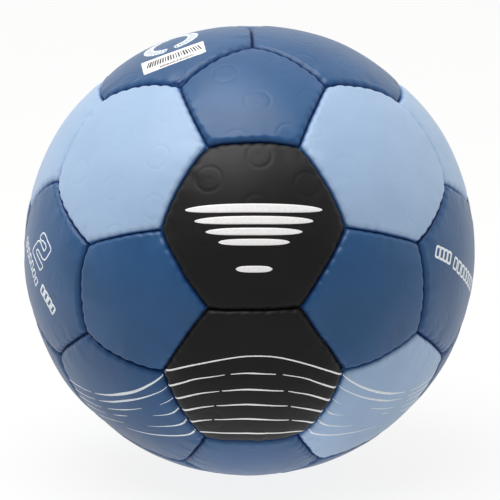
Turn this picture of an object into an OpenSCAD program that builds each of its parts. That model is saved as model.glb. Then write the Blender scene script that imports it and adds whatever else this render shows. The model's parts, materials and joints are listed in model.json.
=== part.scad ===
/* [Ball] */
// Girth of the pumped-up ball over its panels' crowns (a size 2 ball has 540 to 560 mm)
ball_girth = 550; // [540:1:560]
// Rise of the middle of a panel over the middle of its edges
panel_crown = 0.5; // [0.3:0.1:0.8]

/* [Panel layers] */
// Thickness of the synthetic leather skin
skin_t = 1; // [0.8:0.1:1.2]
// Thickness of the foam under the skin
foam_t = 1.6; // [1.2:0.1:2]
// Thickness of the foam where the seam squeezes it
foam_edge_t = 0.5; // [0.4:0.1:0.6]
// Thickness of the woven lining
lining_t = 0.8; // [0.6:0.1:1]

/* [Seams] */
// Radius of the rolled edge of a panel
seam_round = 2.4; // [2:0.1:2.8]
// Gap between the turned-in edges of two neighbours
seam_gap = 0.2; // [0.1:0.05:0.3]
// Height of the stitch holes below the lining
stitch_drop = 0.9; // [0.7:0.1:1.1]
// Width of the turned-in edge from the stitch holes to the raw edge
seam_allowance = 1.5; // [1.2:0.1:2]
// Height above the stitch holes where the foam is skived off
foam_stop = 0.8; // [0.7:0.05:0.9]

/* [Stitching] */
// Width and thickness of the flat waxed thread
thread_w = 0.6; // [0.5:0.05:0.7]
// Number of stitch holes along a seam
stitches = 7; // [5:1:9]
// Bare length of a seam between its last stitch and the corner
stitch_end = 3; // [2.8:0.1:4]

/* [Bladder] */
// Wall thickness of the latex bladder
bladder_t = 0.9; // [0.7:0.1:1.1]

/* [Valve] */
// Diameter of the valve boot's neck, which shows in the panel
neck_d = 8; // [7:0.5:9]
// Depth of the valve's face below the panel
valve_recess = 0.5; // [0.3:0.1:0.8]
// Diameter of the boot's flange inside the bladder
flange_d = 28; // [24:1:32]
// Thickness of the boot's flange
flange_t = 1.2; // [1:0.1:1.5]
// Diameter of the boot's barrel inside the bladder
barrel_d = 11; // [10:0.5:12]
// Length of the boot's barrel below its flange
barrel_l = 12; // [10:0.5:14]
// Diameter of the valve core's head
head_d = 6; // [5.6:0.1:6.4]
// Thickness of the valve core's head
head_t = 1.4; // [1.2:0.1:1.6]
// Diameter of the valve core's stem
stem_d = 4.6; // [4.4:0.1:4.8]
// Diameter of the barb that holds the core in the boot
barb_d = 6.4; // [6:0.1:6.8]
// Height of the barb
barb_h = 2; // [1.6:0.1:2.4]
// Length of the core's tail past the barb
tail_l = 2.5; // [2:0.5:3]
// Diameter of the needle hole
needle_d = 2; // [1.8:0.1:2.2]
// Depth of the needle hole, down to the slit
needle_l = 6; // [5:0.5:7]
// Depth of the countersink that leads the needle in
lead_in = 0.6; // [0.4:0.1:0.8]
// Width of the slit that closes when the needle is out
slit_w = 0.1; // [0.05:0.05:0.15]

/* [Hidden] */
$fn = 96;

// Clearance of a rubber or stitched piece in its hole
fit_gap = 0.05;
// Clearance between the bladder and what it presses on
bladder_gap = 0.1;
// How far the arc of a rolled edge stands past the crown, so that the two cross at a clear angle
roll_lift = 0.06;
// How far a cut runs past the face that it starts from
overrun = 1;

ball_r = ball_girth / (2 * PI);
half_gap = seam_gap / 2;
wall_t = skin_t + foam_t + lining_t;
edge_t = skin_t + foam_edge_t + lining_t;
stitch_hole_r = thread_w / sqrt(2) + fit_gap;
cut_reach = 1.2 * ball_r;

// Radii from the ball's centre: the inside of the lining at a seam, the stitch holes and the raw edges
lining_r = ball_r - panel_crown - wall_t;
stitch_r = lining_r - stitch_drop;
raw_edge_r = stitch_r - seam_allowance;
foam_edge_r = stitch_r + foam_stop;
bladder_r = raw_edge_r - bladder_gap;

// The golden ratio sets every direction of a truncated icosahedron
GOLD = (1 + sqrt(5)) / 2;

function unit(v) = v / norm(v);
function angle_between(a, b) = acos(min(1, unit(a) * unit(b)));

BLACK = "#2c2b2d";
DARK_BLUE = "#33557f";
LIGHT_BLUE = "#a4bfe2";

// Each panel's name, the direction it faces and its colour; -Y is the front
HEXAGONS = [
    ["hexagon_front_upper", [0, -GOLD, 1 / GOLD], BLACK],
    ["hexagon_front_lower", [0, -GOLD, -1 / GOLD], BLACK],
    ["hexagon_back_upper", [0, GOLD, 1 / GOLD], BLACK],
    ["hexagon_back_lower", [0, GOLD, -1 / GOLD], BLACK],
    ["hexagon_top_left", [-1 / GOLD, 0, GOLD], DARK_BLUE],
    ["hexagon_top_right", [1 / GOLD, 0, GOLD], DARK_BLUE],
    ["hexagon_bottom_left", [-1 / GOLD, 0, -GOLD], DARK_BLUE],
    ["hexagon_bottom_right", [1 / GOLD, 0, -GOLD], DARK_BLUE],
    ["hexagon_left_front", [-GOLD, -1 / GOLD, 0], DARK_BLUE],
    ["hexagon_left_back", [-GOLD, 1 / GOLD, 0], DARK_BLUE],
    ["hexagon_right_front", [GOLD, -1 / GOLD, 0], DARK_BLUE],
    ["hexagon_right_back", [GOLD, 1 / GOLD, 0], DARK_BLUE],
    ["hexagon_front_left_upper", [-1, -1, 1], LIGHT_BLUE],
    ["hexagon_front_right_upper", [1, -1, 1], LIGHT_BLUE],
    ["hexagon_front_left_lower", [-1, -1, -1], DARK_BLUE],
    ["hexagon_front_right_lower", [1, -1, -1], LIGHT_BLUE],
    ["hexagon_back_left_upper", [-1, 1, 1], LIGHT_BLUE],
    ["hexagon_back_right_upper", [1, 1, 1], LIGHT_BLUE],
    ["hexagon_back_left_lower", [-1, 1, -1], LIGHT_BLUE],
    ["hexagon_back_right_lower", [1, 1, -1], DARK_BLUE]
];
PENTAGONS = [
    ["pentagon_front_top", [0, -1, GOLD], DARK_BLUE],
    ["pentagon_front_bottom", [0, -1, -GOLD], DARK_BLUE],
    ["pentagon_back_top", [0, 1, GOLD], DARK_BLUE],
    ["pentagon_back_bottom", [0, 1, -GOLD], DARK_BLUE],
    ["pentagon_front_left", [-1, -GOLD, 0], DARK_BLUE],
    ["pentagon_front_right", [1, -GOLD, 0], DARK_BLUE],
    ["pentagon_back_left", [-1, GOLD, 0], DARK_BLUE],
    ["pentagon_back_right", [1, GOLD, 0], DARK_BLUE],
    ["pentagon_left_upper", [-GOLD, 0, 1], LIGHT_BLUE],
    ["pentagon_left_lower", [-GOLD, 0, -1], DARK_BLUE],
    ["pentagon_right_upper", [GOLD, 0, 1], LIGHT_BLUE],
    ["pentagon_right_lower", [GOLD, 0, -1], DARK_BLUE]
];
VALVE_PANEL = "hexagon_back_upper";
VALVE_DIRECTION = [0, GOLD, 1 / GOLD];

// Angle between a panel's middle and the middle of its edges
HEX_EDGE = angle_between([0, -GOLD, 1 / GOLD], [0, -GOLD, -1 / GOLD]) / 2;
PENT_EDGE = angle_between([0, -GOLD, 1 / GOLD], [0, -1, GOLD]) - HEX_EDGE;
// Half the angle that a seam spans, seen from the ball's centre
HALF_SEAM = atan(tan(HEX_EDGE) * tan(30) * cos(HEX_EDGE));
// Panels whose directions lie within this angle share a seam
NEIGHBOUR_LIMIT = 45;
// A seam's cuts sweep this far along it, which takes in the whole panel
side_sweep = 7 * HALF_SEAM;

function edge_angle(sides) = sides == 6 ? HEX_EDGE : PENT_EDGE;
// A smaller panel is crowned more, so that all edges sink alike
function crown_r(sides) = ball_r - panel_crown / (1 - cos(edge_angle(sides)));

// Turns +Z to one direction and +X towards another
module facing(direction, towards) {
    z = unit(direction);
    x = unit(towards - (towards * z) * z);
    y = cross(z, x);
    multmatrix([
        [x.x, y.x, z.x, 0],
        [x.y, y.y, z.y, 0],
        [x.z, y.z, z.z, 0],
        [0, 0, 0, 1]
    ]) children();
}

function neighbours(direction, panels) = [
    for (p = panels)
        if (angle_between(direction, p[1]) < NEIGHBOUR_LIMIT && p[1] != direction) p[1]
];

// Puts a panel that is modelled with its middle on +Z in its place on the ball
module place_hexagon(p) facing(p[1], neighbours(p[1], PENTAGONS)[0]) children();
module place_pentagon(p) facing(p[1], neighbours(p[1], HEXAGONS)[0]) children();

// Turns the axis of a round cut to stand square on one seam, with +X on the seam's middle
module at_seam(sides, index)
    rotate([0, 0, index * 360 / sides])
    rotate([0, edge_angle(sides) - 90, 0])
    children();

// A ball whose poles lie off to the side of the panel's middle
module side_ball(r) rotate([0, 90, 0]) sphere(r);

module crown_ball(sides, drop)
    translate([0, 0, ball_r - crown_r(sides)]) side_ball(crown_r(sides) - drop);

// The side of a seam that a panel lies on, with a rolled outer edge
module rolled_side(drop, inset, round_r) {
    roll_r = ball_r - panel_crown + roll_lift - drop - round_r;
    roll_z = half_gap + inset + round_r;
    rotate([0, 0, -side_sweep / 2]) rotate_extrude(angle = side_sweep) {
        translate([0, half_gap + inset]) square([roll_r, cut_reach]);
        translate([0, roll_z]) square([cut_reach, cut_reach - round_r]);
        translate([roll_r, roll_z]) circle(round_r);
    }
}

// The same side with a sharp edge, for the layers that are folded and don't show
module folded_side(inset)
    translate([-cut_reach, -cut_reach, half_gap + inset])
        cube([2 * cut_reach, 2 * cut_reach, cut_reach]);

// What a crown leaves over a ball, before the seams cut it
module crown_shell(sides, drop, inner_r)
    difference() {
        crown_ball(sides, drop);
        side_ball(inner_r);
    }

// A panel's form after a drop from its crown and an inset from its seams, which cut it in turn
module rolled_form(sides, drop, inset, round_r, inner_r, seam = 0)
    if (seam == sides)
        crown_shell(sides, drop, inner_r);
    else
        intersection() {
            rolled_form(sides, drop, inset, round_r, inner_r, seam + 1);
            at_seam(sides, seam) rolled_side(drop, inset, round_r);
        }

module folded_form(sides, drop, inset, inner_r, seam = 0)
    if (seam == sides)
        crown_shell(sides, drop, inner_r);
    else
        intersection() {
            folded_form(sides, drop, inset, inner_r, seam + 1);
            at_seam(sides, seam) folded_side(inset);
        }

// The turn of each stitch along a seam, from its middle
stitch_half_turn = HALF_SEAM - stitch_end / stitch_r * 180 / PI;
stitch_pitch_turn = 2 * stitch_half_turn / (stitches - 1);
stitch_turns = [for (k = [0 : stitches - 1]) k * stitch_pitch_turn - stitch_half_turn];
// Half a thread's width as a turn, by which the end stitches run past their holes' middles
thread_half_turn = thread_w / 2 / stitch_r * 180 / PI;

module stitch_holes(sides)
    for (i = [0 : sides - 1], turn = stitch_turns)
        at_seam(sides, i) rotate([0, 0, turn]) translate([stitch_r, 0, -overrun])
            cylinder(r = stitch_hole_r, h = half_gap + edge_t + 2 * overrun);

module neck_hole() cylinder(d = neck_d + 2 * fit_gap, h = cut_reach);

// The skin is a cup with turned-in edges, which show as the rolled sides of the seams
module skin(sides, has_valve = false)
    difference() {
        difference() {
            rolled_form(sides, 0, 0, seam_round, raw_edge_r);
            rolled_form(sides, skin_t, skin_t, seam_round - skin_t, raw_edge_r - overrun);
        }
        stitch_holes(sides);
        if (has_valve) neck_hole();
    }

// The foam is skived thin over the edge and ends above the stitches
module foam(sides, has_valve = false)
    difference() {
        rolled_form(sides, skin_t, skin_t, seam_round - skin_t, foam_edge_r);
        folded_form(sides, skin_t + foam_t, skin_t + foam_edge_t, foam_edge_r - overrun);
        if (has_valve) neck_hole();
    }

// The lining is folded in with the skin and sewn through
module lining(sides, has_valve = false)
    difference() {
        difference() {
            folded_form(sides, skin_t + foam_t, skin_t + foam_edge_t, raw_edge_r);
            folded_form(sides, wall_t, edge_t, raw_edge_r - overrun);
        }
        stitch_holes(sides);
        if (has_valve) neck_hole();
    }

// The thread of one seam: a run of saddle stitches on each side, joined through the holes
module seam_thread() {
    rail_z = half_gap + edge_t + thread_w;
    window = stitch_pitch_turn * PI / 180 * (stitch_r - thread_w / 2) - thread_w;
    difference() {
        rotate([0, 0, -stitch_half_turn - thread_half_turn])
            rotate_extrude(angle = 2 * (stitch_half_turn + thread_half_turn))
                translate([stitch_r - thread_w / 2, -rail_z]) square([thread_w, 2 * rail_z]);
        for (k = [1 : stitches - 1])
            rotate([0, 0, (stitch_turns[k - 1] + stitch_turns[k]) / 2])
                translate([stitch_r - overrun, -window / 2, thread_w - rail_z])
                    cube([2 * overrun, window, 2 * (rail_z - thread_w)]);
    }
}

// Threads of every seam between two lists of panels, each seam once
module threads(from_panels, to_panels) {
    same = from_panels == to_panels;
    for (i = [0 : len(from_panels) - 1], j = [0 : len(to_panels) - 1]) {
        a = unit(from_panels[i][1]);
        b = unit(to_panels[j][1]);
        if ((!same || i < j) && angle_between(a, b) < NEIGHBOUR_LIMIT) {
            across = unit(b - (a * b) * a);
            middle = cos(HEX_EDGE) * a + sin(HEX_EDGE) * across;
            facing(cross(middle, cross(a, across)), middle) seam_thread();
        }
    }
}

module place_valve() facing(VALVE_DIRECTION, [0, 0, 1]) children();

// Pumped up, the bladder bears on the raw edges of every seam
module bladder()
    color("#d9c7a0")
    place_valve() difference() {
        side_ball(bladder_r);
        side_ball(bladder_r - bladder_t);
        neck_hole();
    }

// Heights of the valve along its own axis, from the ball's centre
valve_top = ball_r - valve_recess;
flange_r = bladder_r - bladder_t - fit_gap;
barrel_end = flange_r - flange_t - barrel_l;
barb_bottom = barrel_end + tail_l;
barb_top = barb_bottom + barb_h;
head_bottom = valve_top - head_t;

module disc(r, bottom, top) translate([0, bottom]) square([r, top - bottom]);

// Half the section of the flange, which lies against the bladder's inner wall
module flange_section()
    intersection() {
        difference() {
            circle(flange_r);
            circle(flange_r - flange_t);
        }
        square([flange_d / 2, cut_reach]);
    }

module valve_boot()
    color("#1d1d1f")
    place_valve() difference() {
        rotate_extrude() {
            disc(neck_d / 2, flange_r - flange_t, valve_top);
            flange_section();
            disc(barrel_d / 2, barrel_end, flange_r - flange_t / 2);
        }
        rotate_extrude() {
            disc(stem_d / 2 + fit_gap, barrel_end - overrun, valve_top + overrun);
            disc(head_d / 2 + fit_gap, head_bottom - fit_gap, valve_top + overrun);
            disc(barb_d / 2 + fit_gap, barb_bottom - fit_gap, barb_top + fit_gap);
        }
    }

// The core's barb tapers to the tail, so that it can be pushed in
module barb_section()
    polygon([
        [0, barb_bottom],
        [stem_d / 2, barb_bottom],
        [barb_d / 2, barb_top - barb_h / 4],
        [barb_d / 2, barb_top],
        [0, barb_top]
    ]);

module valve_core()
    color("#2a2a2c")
    place_valve() difference() {
        rotate_extrude() {
            disc(stem_d / 2, barrel_end, valve_top - head_t / 2);
            disc(head_d / 2, head_bottom, valve_top);
            barb_section();
        }
        translate([0, 0, valve_top - needle_l]) cylinder(d = needle_d, h = needle_l + overrun);
        translate([0, 0, valve_top - lead_in])
            cylinder(d1 = needle_d, d2 = needle_d + 4 * lead_in, h = 2 * lead_in);
        translate([-slit_w / 2, -needle_d / 2, barrel_end - overrun])
            cube([slit_w, needle_d, valve_top - needle_l - barrel_end + 2 * overrun]);
    }

for (p = HEXAGONS)
    color(p[2]) place_hexagon(p) skin(6, p[0] == VALVE_PANEL);
for (p = PENTAGONS)
    color(p[2]) place_pentagon(p) skin(5);
color("#e8e4da") for (p = HEXAGONS) place_hexagon(p) foam(6, p[0] == VALVE_PANEL);  // foam_hexagons
color("#e8e4da") for (p = PENTAGONS) place_pentagon(p) foam(5);  // foam_pentagons
color("#cfcabd") for (p = HEXAGONS) place_hexagon(p) lining(6, p[0] == VALVE_PANEL);  // lining_hexagons
color("#cfcabd") for (p = PENTAGONS) place_pentagon(p) lining(5);  // lining_pentagons
color("#20242c") threads(HEXAGONS, HEXAGONS);  // stitching_between_hexagons
color("#20242c") threads(HEXAGONS, PENTAGONS);  // stitching_round_pentagons
bladder();
valve_boot();
valve_core();
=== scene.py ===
# %% [markdown]
# # A hand-stitched handball in Blender
#
# The real ball is 32 panels of synthetic leather, 20 hexagons and 12 pentagons, each backed with
# foam and a woven lining, turned in along its edges and saddle-stitched to its neighbours over a
# latex bladder with a needle valve.
# The CAD model gives the size, the names and the place of every piece. This script loads it as a
# fixed frame and dresses it: soft panels with rolled edges and puckered seams, printed lines,
# thread, foam, lining, bladder, and the light and camera of a plain studio.

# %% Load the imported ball
import json
import math

import bpy
import numpy as np
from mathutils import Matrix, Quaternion, Vector


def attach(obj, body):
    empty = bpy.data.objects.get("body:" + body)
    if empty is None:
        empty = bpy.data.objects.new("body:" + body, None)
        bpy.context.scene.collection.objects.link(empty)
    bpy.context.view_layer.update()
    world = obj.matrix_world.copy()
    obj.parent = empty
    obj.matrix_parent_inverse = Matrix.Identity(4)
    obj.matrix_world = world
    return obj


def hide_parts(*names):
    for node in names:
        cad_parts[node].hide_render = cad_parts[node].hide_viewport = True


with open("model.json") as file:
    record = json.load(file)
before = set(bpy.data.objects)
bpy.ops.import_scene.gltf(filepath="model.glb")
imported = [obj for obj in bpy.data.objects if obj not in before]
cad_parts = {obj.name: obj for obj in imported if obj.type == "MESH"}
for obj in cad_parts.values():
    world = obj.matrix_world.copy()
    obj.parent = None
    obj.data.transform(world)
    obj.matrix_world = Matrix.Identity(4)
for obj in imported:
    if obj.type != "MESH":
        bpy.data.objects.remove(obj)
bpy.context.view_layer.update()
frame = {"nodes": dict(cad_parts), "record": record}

MM = 0.001

# %% [markdown]
# ## The camera
#
# The ball fills nine tenths of a square picture and is seen from a little above, almost straight
# on, with next to no perspective. A long lens far away gives that look. The half width of the
# view follows from the outline: a ball of radius R seen from D radii away covers
# asin(1 / D) on each side of the axis.

# %% Camera
BALL_R = 550 / (2 * math.pi)    # mm, a girth of 550 mm over the crowns, as in the CAD
CAMERA_AZIMUTH, CAMERA_ELEVATION, CAMERA_ROLL = -1.2, 14.8, 0.2    # degrees
CAMERA_DISTANCE = 28            # ball radii
OUTLINE_SHARE = 226.3 / 250     # the ball's radius as a share of half the picture
SENSOR_WIDTH = 36               # mm
PICTURE_SHIFT = 0.0012, 0.0006  # of the picture's width, right and up


def add_object(name, data):
    """A new object in the scene."""
    thing = bpy.data.objects.new(name, data)
    bpy.context.collection.objects.link(thing)
    return thing


def aim_at_ball(thing, place, roll=0.0):
    """Puts a camera or lamp in a place and turns it to the ball's centre."""
    thing.location = place
    thing.rotation_mode = "QUATERNION"
    thing.rotation_quaternion = (-place).to_track_quat("-Z", "Y") @ Quaternion((0, 0, 1), roll)


azimuth, elevation = math.radians(CAMERA_AZIMUTH), math.radians(CAMERA_ELEVATION)
towards_camera = Vector((
    math.sin(azimuth) * math.cos(elevation),
    -math.cos(azimuth) * math.cos(elevation),
    math.sin(elevation),
))
half_view = math.tan(math.asin(1 / CAMERA_DISTANCE)) / OUTLINE_SHARE
camera = add_object("camera", bpy.data.cameras.new("camera"))
camera.data.sensor_width = SENSOR_WIDTH
camera.data.lens = SENSOR_WIDTH / 2 / half_view
camera.data.shift_x, camera.data.shift_y = PICTURE_SHIFT
camera.data.clip_start, camera.data.clip_end = 0.1, 20
aim_at_ball(camera, towards_camera * (CAMERA_DISTANCE * BALL_R * MM), math.radians(CAMERA_ROLL))
bpy.context.scene.camera = camera
bpy.context.scene.view_settings.view_transform = "Standard"
print("camera: lens", round(camera.data.lens, 1), "mm at", round(camera.location.length, 3), "m")

# %% [markdown]
# ## One helper for nodes, one for colours
#
# Every material and every Geometry Nodes tree below is built with the same small function. It
# adds one node, sets its properties and sockets, and links whatever it is given as a socket, or
# as a node, which stands for its first output.
# Colours are written as sRGB hex values, as a colour picker shows them, and turned to the linear
# values that the shader works in.

# %% Node and colour helpers
def add_node(tree, kind, inputs=None, **properties):
    """Adds a node. inputs maps a socket's name or number to a value, socket or node to link."""
    node = tree.nodes.new(kind)
    for name, value in properties.items():
        setattr(node, name, value)
    for name, value in (inputs or {}).items():
        if isinstance(value, bpy.types.Node):
            value = value.outputs[0]
        if isinstance(value, bpy.types.NodeSocket):
            tree.links.new(value, node.inputs[name])
        else:
            node.inputs[name].default_value = value
    return node


def linear(hex_colour):
    """The linear RGBA of an sRGB hex colour."""
    parts = [int(hex_colour[i:i + 2], 16) / 255 for i in (1, 3, 5)]
    return [p / 12.92 if p <= 0.04045 else ((p + 0.055) / 1.055) ** 2.4 for p in parts] + [1]


def start_material(name):
    """An empty material and its tree."""
    material = bpy.data.materials.new(name)
    material.use_nodes = True
    material.node_tree.nodes.clear()
    return material, material.node_tree


def per_metre(size_mm):
    """Scale of a texture on Object coordinates whose grains are this many mm wide."""
    return 1 / (size_mm * MM)


# %% [markdown]
# ## Synthetic leather
#
# The skin of the panels is polyurethane on a fine backing: a smooth, slightly tacky satin film.
# To the eye that is a soft wide gloss that pales towards the ball's outline, a very fine grain,
# and a colour that is almost but not quite even. One function makes the three colours, because
# they are the same material. The grain of the real film is about 0.2 mm and would vanish in the
# picture, so it is drawn at 0.5 mm. Where the edge rolls into a seam, the colour is darkened
# towards a deep shade of its own hue: painted shade in the crevice between two panels, so blue
# panels meet in navy lines and not in grey ones. How far the edge has rolled in comes with each
# panel as an attribute.

# %% Leather materials
GRAIN_MM, CLOUD_MM, SCUFF_MM = 0.5, 18, 5
CLOUD_RANGE = 0.35, 0.65        # of the noise, over which one shade turns into the other
PAINTED_SEAM_SHADE = 0.55, 0.97         # share rolled in where the painted seam shade starts, and where it is full
SCUFF_GLOSS = -0.04, 0.05       # what scuffs take from the roughness, and add to it


def synthetic_leather(name, hex_colour, shade_hex, seam_shade_hex, roughness, specular):
    """Satin polyurethane film: two close shades in soft clouds, a fine pebble grain, and painted
    shade in its seams.
    """
    material, tree = start_material(name)
    place = add_node(tree, "ShaderNodeTexCoord").outputs["Object"]
    cloud = add_node(tree, "ShaderNodeTexNoise", {
        "Vector": place, "Scale": per_metre(CLOUD_MM), "Detail": 3, "Roughness": 0.55})
    tint = add_node(tree, "ShaderNodeValToRGB", {"Fac": cloud})
    for element, at, shade in zip(tint.color_ramp.elements, CLOUD_RANGE, (shade_hex, hex_colour)):
        element.position, element.color = at, linear(shade)
    # Painted shade: towards the seam the colour darkens to a deep shade of its own hue
    rolled = add_node(tree, "ShaderNodeAttribute", attribute_name="seam_roll").outputs["Fac"]
    seam_shade_share = add_node(tree, "ShaderNodeMapRange", {
        "Value": rolled, "From Min": PAINTED_SEAM_SHADE[0], "From Max": PAINTED_SEAM_SHADE[1]},
        interpolation_type="SMOOTHSTEP")
    coat_and_seam_shade = add_node(tree, "ShaderNodeMix", {
        0: seam_shade_share, 6: tint, 7: linear(seam_shade_hex)},
        data_type="RGBA")
    scuff = add_node(tree, "ShaderNodeTexNoise", {
        "Vector": place, "Scale": per_metre(SCUFF_MM), "Detail": 4, "Roughness": 0.6})
    gloss = add_node(tree, "ShaderNodeMapRange", {
        "Value": scuff, "To Min": roughness + SCUFF_GLOSS[0],
        "To Max": roughness + SCUFF_GLOSS[1]})
    grain = add_node(tree, "ShaderNodeTexVoronoi", {
        "Vector": place, "Scale": per_metre(GRAIN_MM), "Randomness": 1}, feature="SMOOTH_F1")
    fine = add_node(tree, "ShaderNodeBump", {
        "Height": grain, "Strength": 0.08, "Distance": 0.08 * MM})
    film = add_node(tree, "ShaderNodeBsdfPrincipled", {
        "Base Color": coat_and_seam_shade.outputs[2], "Roughness": gloss,
        "Normal": fine, "IOR": 1.5, "Specular IOR Level": specular,
        "Sheen Weight": 0.06, "Sheen Roughness": 0.5})
    add_node(tree, "ShaderNodeOutputMaterial", {"Surface": film})
    return material


# The third colour of each leather is its painted seam shade
LEATHERS = {
    "skin_black": synthetic_leather(
        "pu_leather_black", "#1c1a1c", "#191719", "#060508", 0.4, 0.27),
    "skin_dark_blue": synthetic_leather(
        "pu_leather_dark_blue", "#225588", "#205080", "#0d3f7a", 0.38, 0.5),
    "skin_light_blue": synthetic_leather(
        "pu_leather_light_blue", "#a0bbdc", "#9bb6d8", "#3468a6", 0.42, 0.5),
}
print("leathers:", [m.name for m in LEATHERS.values()])

# %% [markdown]
# ## The net of seams
#
# All seams follow one rule. A hexagon or pentagon faces one of 32 fixed directions, set by the
# golden ratio, and the seams run between 60 corners, each a third of the way along an edge of
# the icosahedron. So the corners are computed once, each panel takes the ones nearest to it, and
# two neighbours share exactly the same seam. The names and colours come from the CAD record.

# %% Directions of the panels and corners of the seams
GOLD = (1 + 5 ** 0.5) / 2
SIGNS = (-1, 1)


def unit(v):
    """Scales one vector, or each row of several, to length 1."""
    v = np.asarray(v, float)
    return v / np.linalg.norm(v, axis=-1, keepdims=True)


def turned_about(vectors):
    """Each vector with its coordinates moved round in turn, which the ball looks the same to."""
    return [tuple(np.roll(v, k)) for v in vectors for k in range(3)]


PENTAGON_FACES = unit(turned_about([(0, a, b * GOLD) for a in SIGNS for b in SIGNS]))
HEXAGON_FACES = unit(
    turned_about([(0, a * GOLD, b / GOLD) for a in SIGNS for b in SIGNS])
    + [(a, b, c) for a in SIGNS for b in SIGNS for c in SIGNS])
EDGE_COSINE = 1 / 5 ** 0.5      # between the directions of neighbouring corners of an icosahedron
CORNERS = unit([
    2 * a + b for a in PENTAGON_FACES for b in PENTAGON_FACES if abs(a @ b - EDGE_COSINE) < 1e-6])
print(len(PENTAGON_FACES), "pentagons,", len(HEXAGON_FACES), "hexagons,", len(CORNERS), "corners")

# %% [markdown]
# ## What a panel knows about itself
#
# Each panel is described by the direction of its middle, two directions along its surface (right
# and up, as seen from outside), its corners in turn, and for every seam the plane through the
# ball's centre that the seam lies in. The distance from a seam is then one dot product. The
# stitches are placed along the seams once, with a little unevenness from the hand that sewed
# them, so that both neighbours pucker in the same places.

# %% Panels
STITCHES, STITCH_END = 7, 3.0   # holes along a seam, and the bare length to the corner, in mm
STITCH_R = 82.735               # mm from the centre, as in the CAD
STITCH_STRAY, STITCH_STRENGTH = 0.3, (0.6, 1.3)    # mm along the seam, least and most pull
NECK_HOLE_R = 4.05              # mm, round the neck of the valve boot
random = np.random.default_rng(32)
seams = {}


def seam_between(first, second):
    """The seam between two corners, the same whichever panel asks."""
    key = (min(first, second), max(first, second))
    if key not in seams:
        a, b = CORNERS[key[0]], CORNERS[key[1]]
        middle, along = unit(a + b), unit(b - a)
        half = BALL_R * math.acos(a @ middle)
        places = np.linspace(STITCH_END - half, half - STITCH_END, STITCHES)
        seams[key] = {
            "ends": key, "middle": middle, "along": along, "across": np.cross(middle, along),
            "half": half, "relief": 1.0,
            "stitches": places + random.uniform(-STITCH_STRAY, STITCH_STRAY, STITCHES),
            "pull": random.uniform(*STITCH_STRENGTH, STITCHES),
            "wander": random.uniform(-1, 1, 4),
        }
    return seams[key]


def describe_panel(name, slot_name):
    """Everything that the panel's mesh and its prints are worked out from."""
    own = frame["nodes"][name].data.vertices
    seen = unit(np.mean([v.co[:] for v in own], axis=0))
    sides, faces = (6, HEXAGON_FACES) if name.startswith("hexagon") else (5, PENTAGON_FACES)
    middle = faces[np.argmax(faces @ seen)]
    up = unit(np.array([0, 0, 1]) - middle[2] * middle)
    right = np.cross(up, middle)
    near = np.argsort(-(CORNERS @ middle))[:sides]
    near = near[np.argsort(np.arctan2(CORNERS[near] @ up, CORNERS[near] @ right))]
    corners, following = CORNERS[near], CORNERS[np.roll(near, -1)]
    normals = unit(np.cross(corners, following))
    return {
        "name": name, "slot": slot_name, "middle": middle, "right": right, "up": up,
        "corners": corners, "corner_numbers": near, "normals": normals,
        "edge_cosine": math.sqrt(1 - (normals[0] @ middle) ** 2),
        "seams": [seam_between(a, b) for a, b in zip(near, np.roll(near, -1))],
        "hole": 0.0,
    }


slots = {part["node"]: part["material_slot"] for part in frame["record"]["subparts"]}
panels = {
    name: describe_panel(name, slots[name])
    for name in sorted(slots) if name.startswith(("hexagon_", "pentagon_"))}
valve_panel = panels["hexagon_back_upper"]
valve_panel["hole"] = NECK_HOLE_R
print(len(panels), "panels,", len(seams), "seams")

# %% [markdown]
# ## Rings of points
#
# A panel is laid out as rings of points, each a fixed distance in from its seams. The corner of
# such a ring is where two planes, both moved in by that distance, cut the ball, and the points
# between two corners run along a small circle. Near a seam the rings lie close together, because
# the edge rolls over there within two millimetres. Further in, one ring is drawn in towards the
# middle of the panel step by step, which fills it with even triangles.

# %% Rings of directions
def flat_place(panel, directions):
    """Where directions land on the flat sheet that touches the panel's middle, in mm."""
    reach = BALL_R / (directions @ panel["middle"])
    return np.stack([directions @ panel["right"], directions @ panel["up"]], 1) * reach[:, None]


def direction_of(panel, places):
    """The directions of places on the panel's flat sheet, given in mm."""
    return unit(
        panel["middle"] * BALL_R + places[:, :1] * panel["right"] + places[:, 1:] * panel["up"])


def ring(panel, inset, segments, share=1.0):
    """Directions round the panel, inset mm from its seams, drawn in to a share of that ring."""
    s = math.sin(inset / BALL_R)
    normals, before = panel["normals"], np.roll(panel["normals"], 1, axis=0)
    meet = (normals * before).sum(1, keepdims=True)
    a = s / (1 + meet)
    starts = a * (normals + before) + np.sqrt(1 - 2 * a * a * (1 + meet)) * panel["corners"]
    step = (np.arange(segments) / segments)[None, :, None]
    between = starts[:, None] * (1 - step) + np.roll(starts, -1, axis=0)[:, None] * step
    along = between - s * normals[:, None]
    points = (s * normals[:, None] + math.sqrt(1 - s * s) * unit(along)).reshape(-1, 3)
    if share == 1:
        return points
    flat = flat_place(panel, points)
    rim = unit(flat) * panel["hole"]
    return direction_of(panel, rim + (flat - rim) * share)


# %% [markdown]
# ## The form of a panel
#
# Pumped up, every panel is a shallow dome that is a little more curved than the ball, so that
# its middle stands half a millimetre over its edges. At the seam the skin rolls over and dives
# between the neighbours. Four things make it look sewn and not machined: the corners sink and
# round off where three panels meet, each stitch pulls the edge in, the short stretches between
# stitches swell, and the foam makes broad soft lumps. Rings of 10 mm are pressed faintly into the
# film, scattered evenly and cut off by the seams, as on many grip skins.

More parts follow.
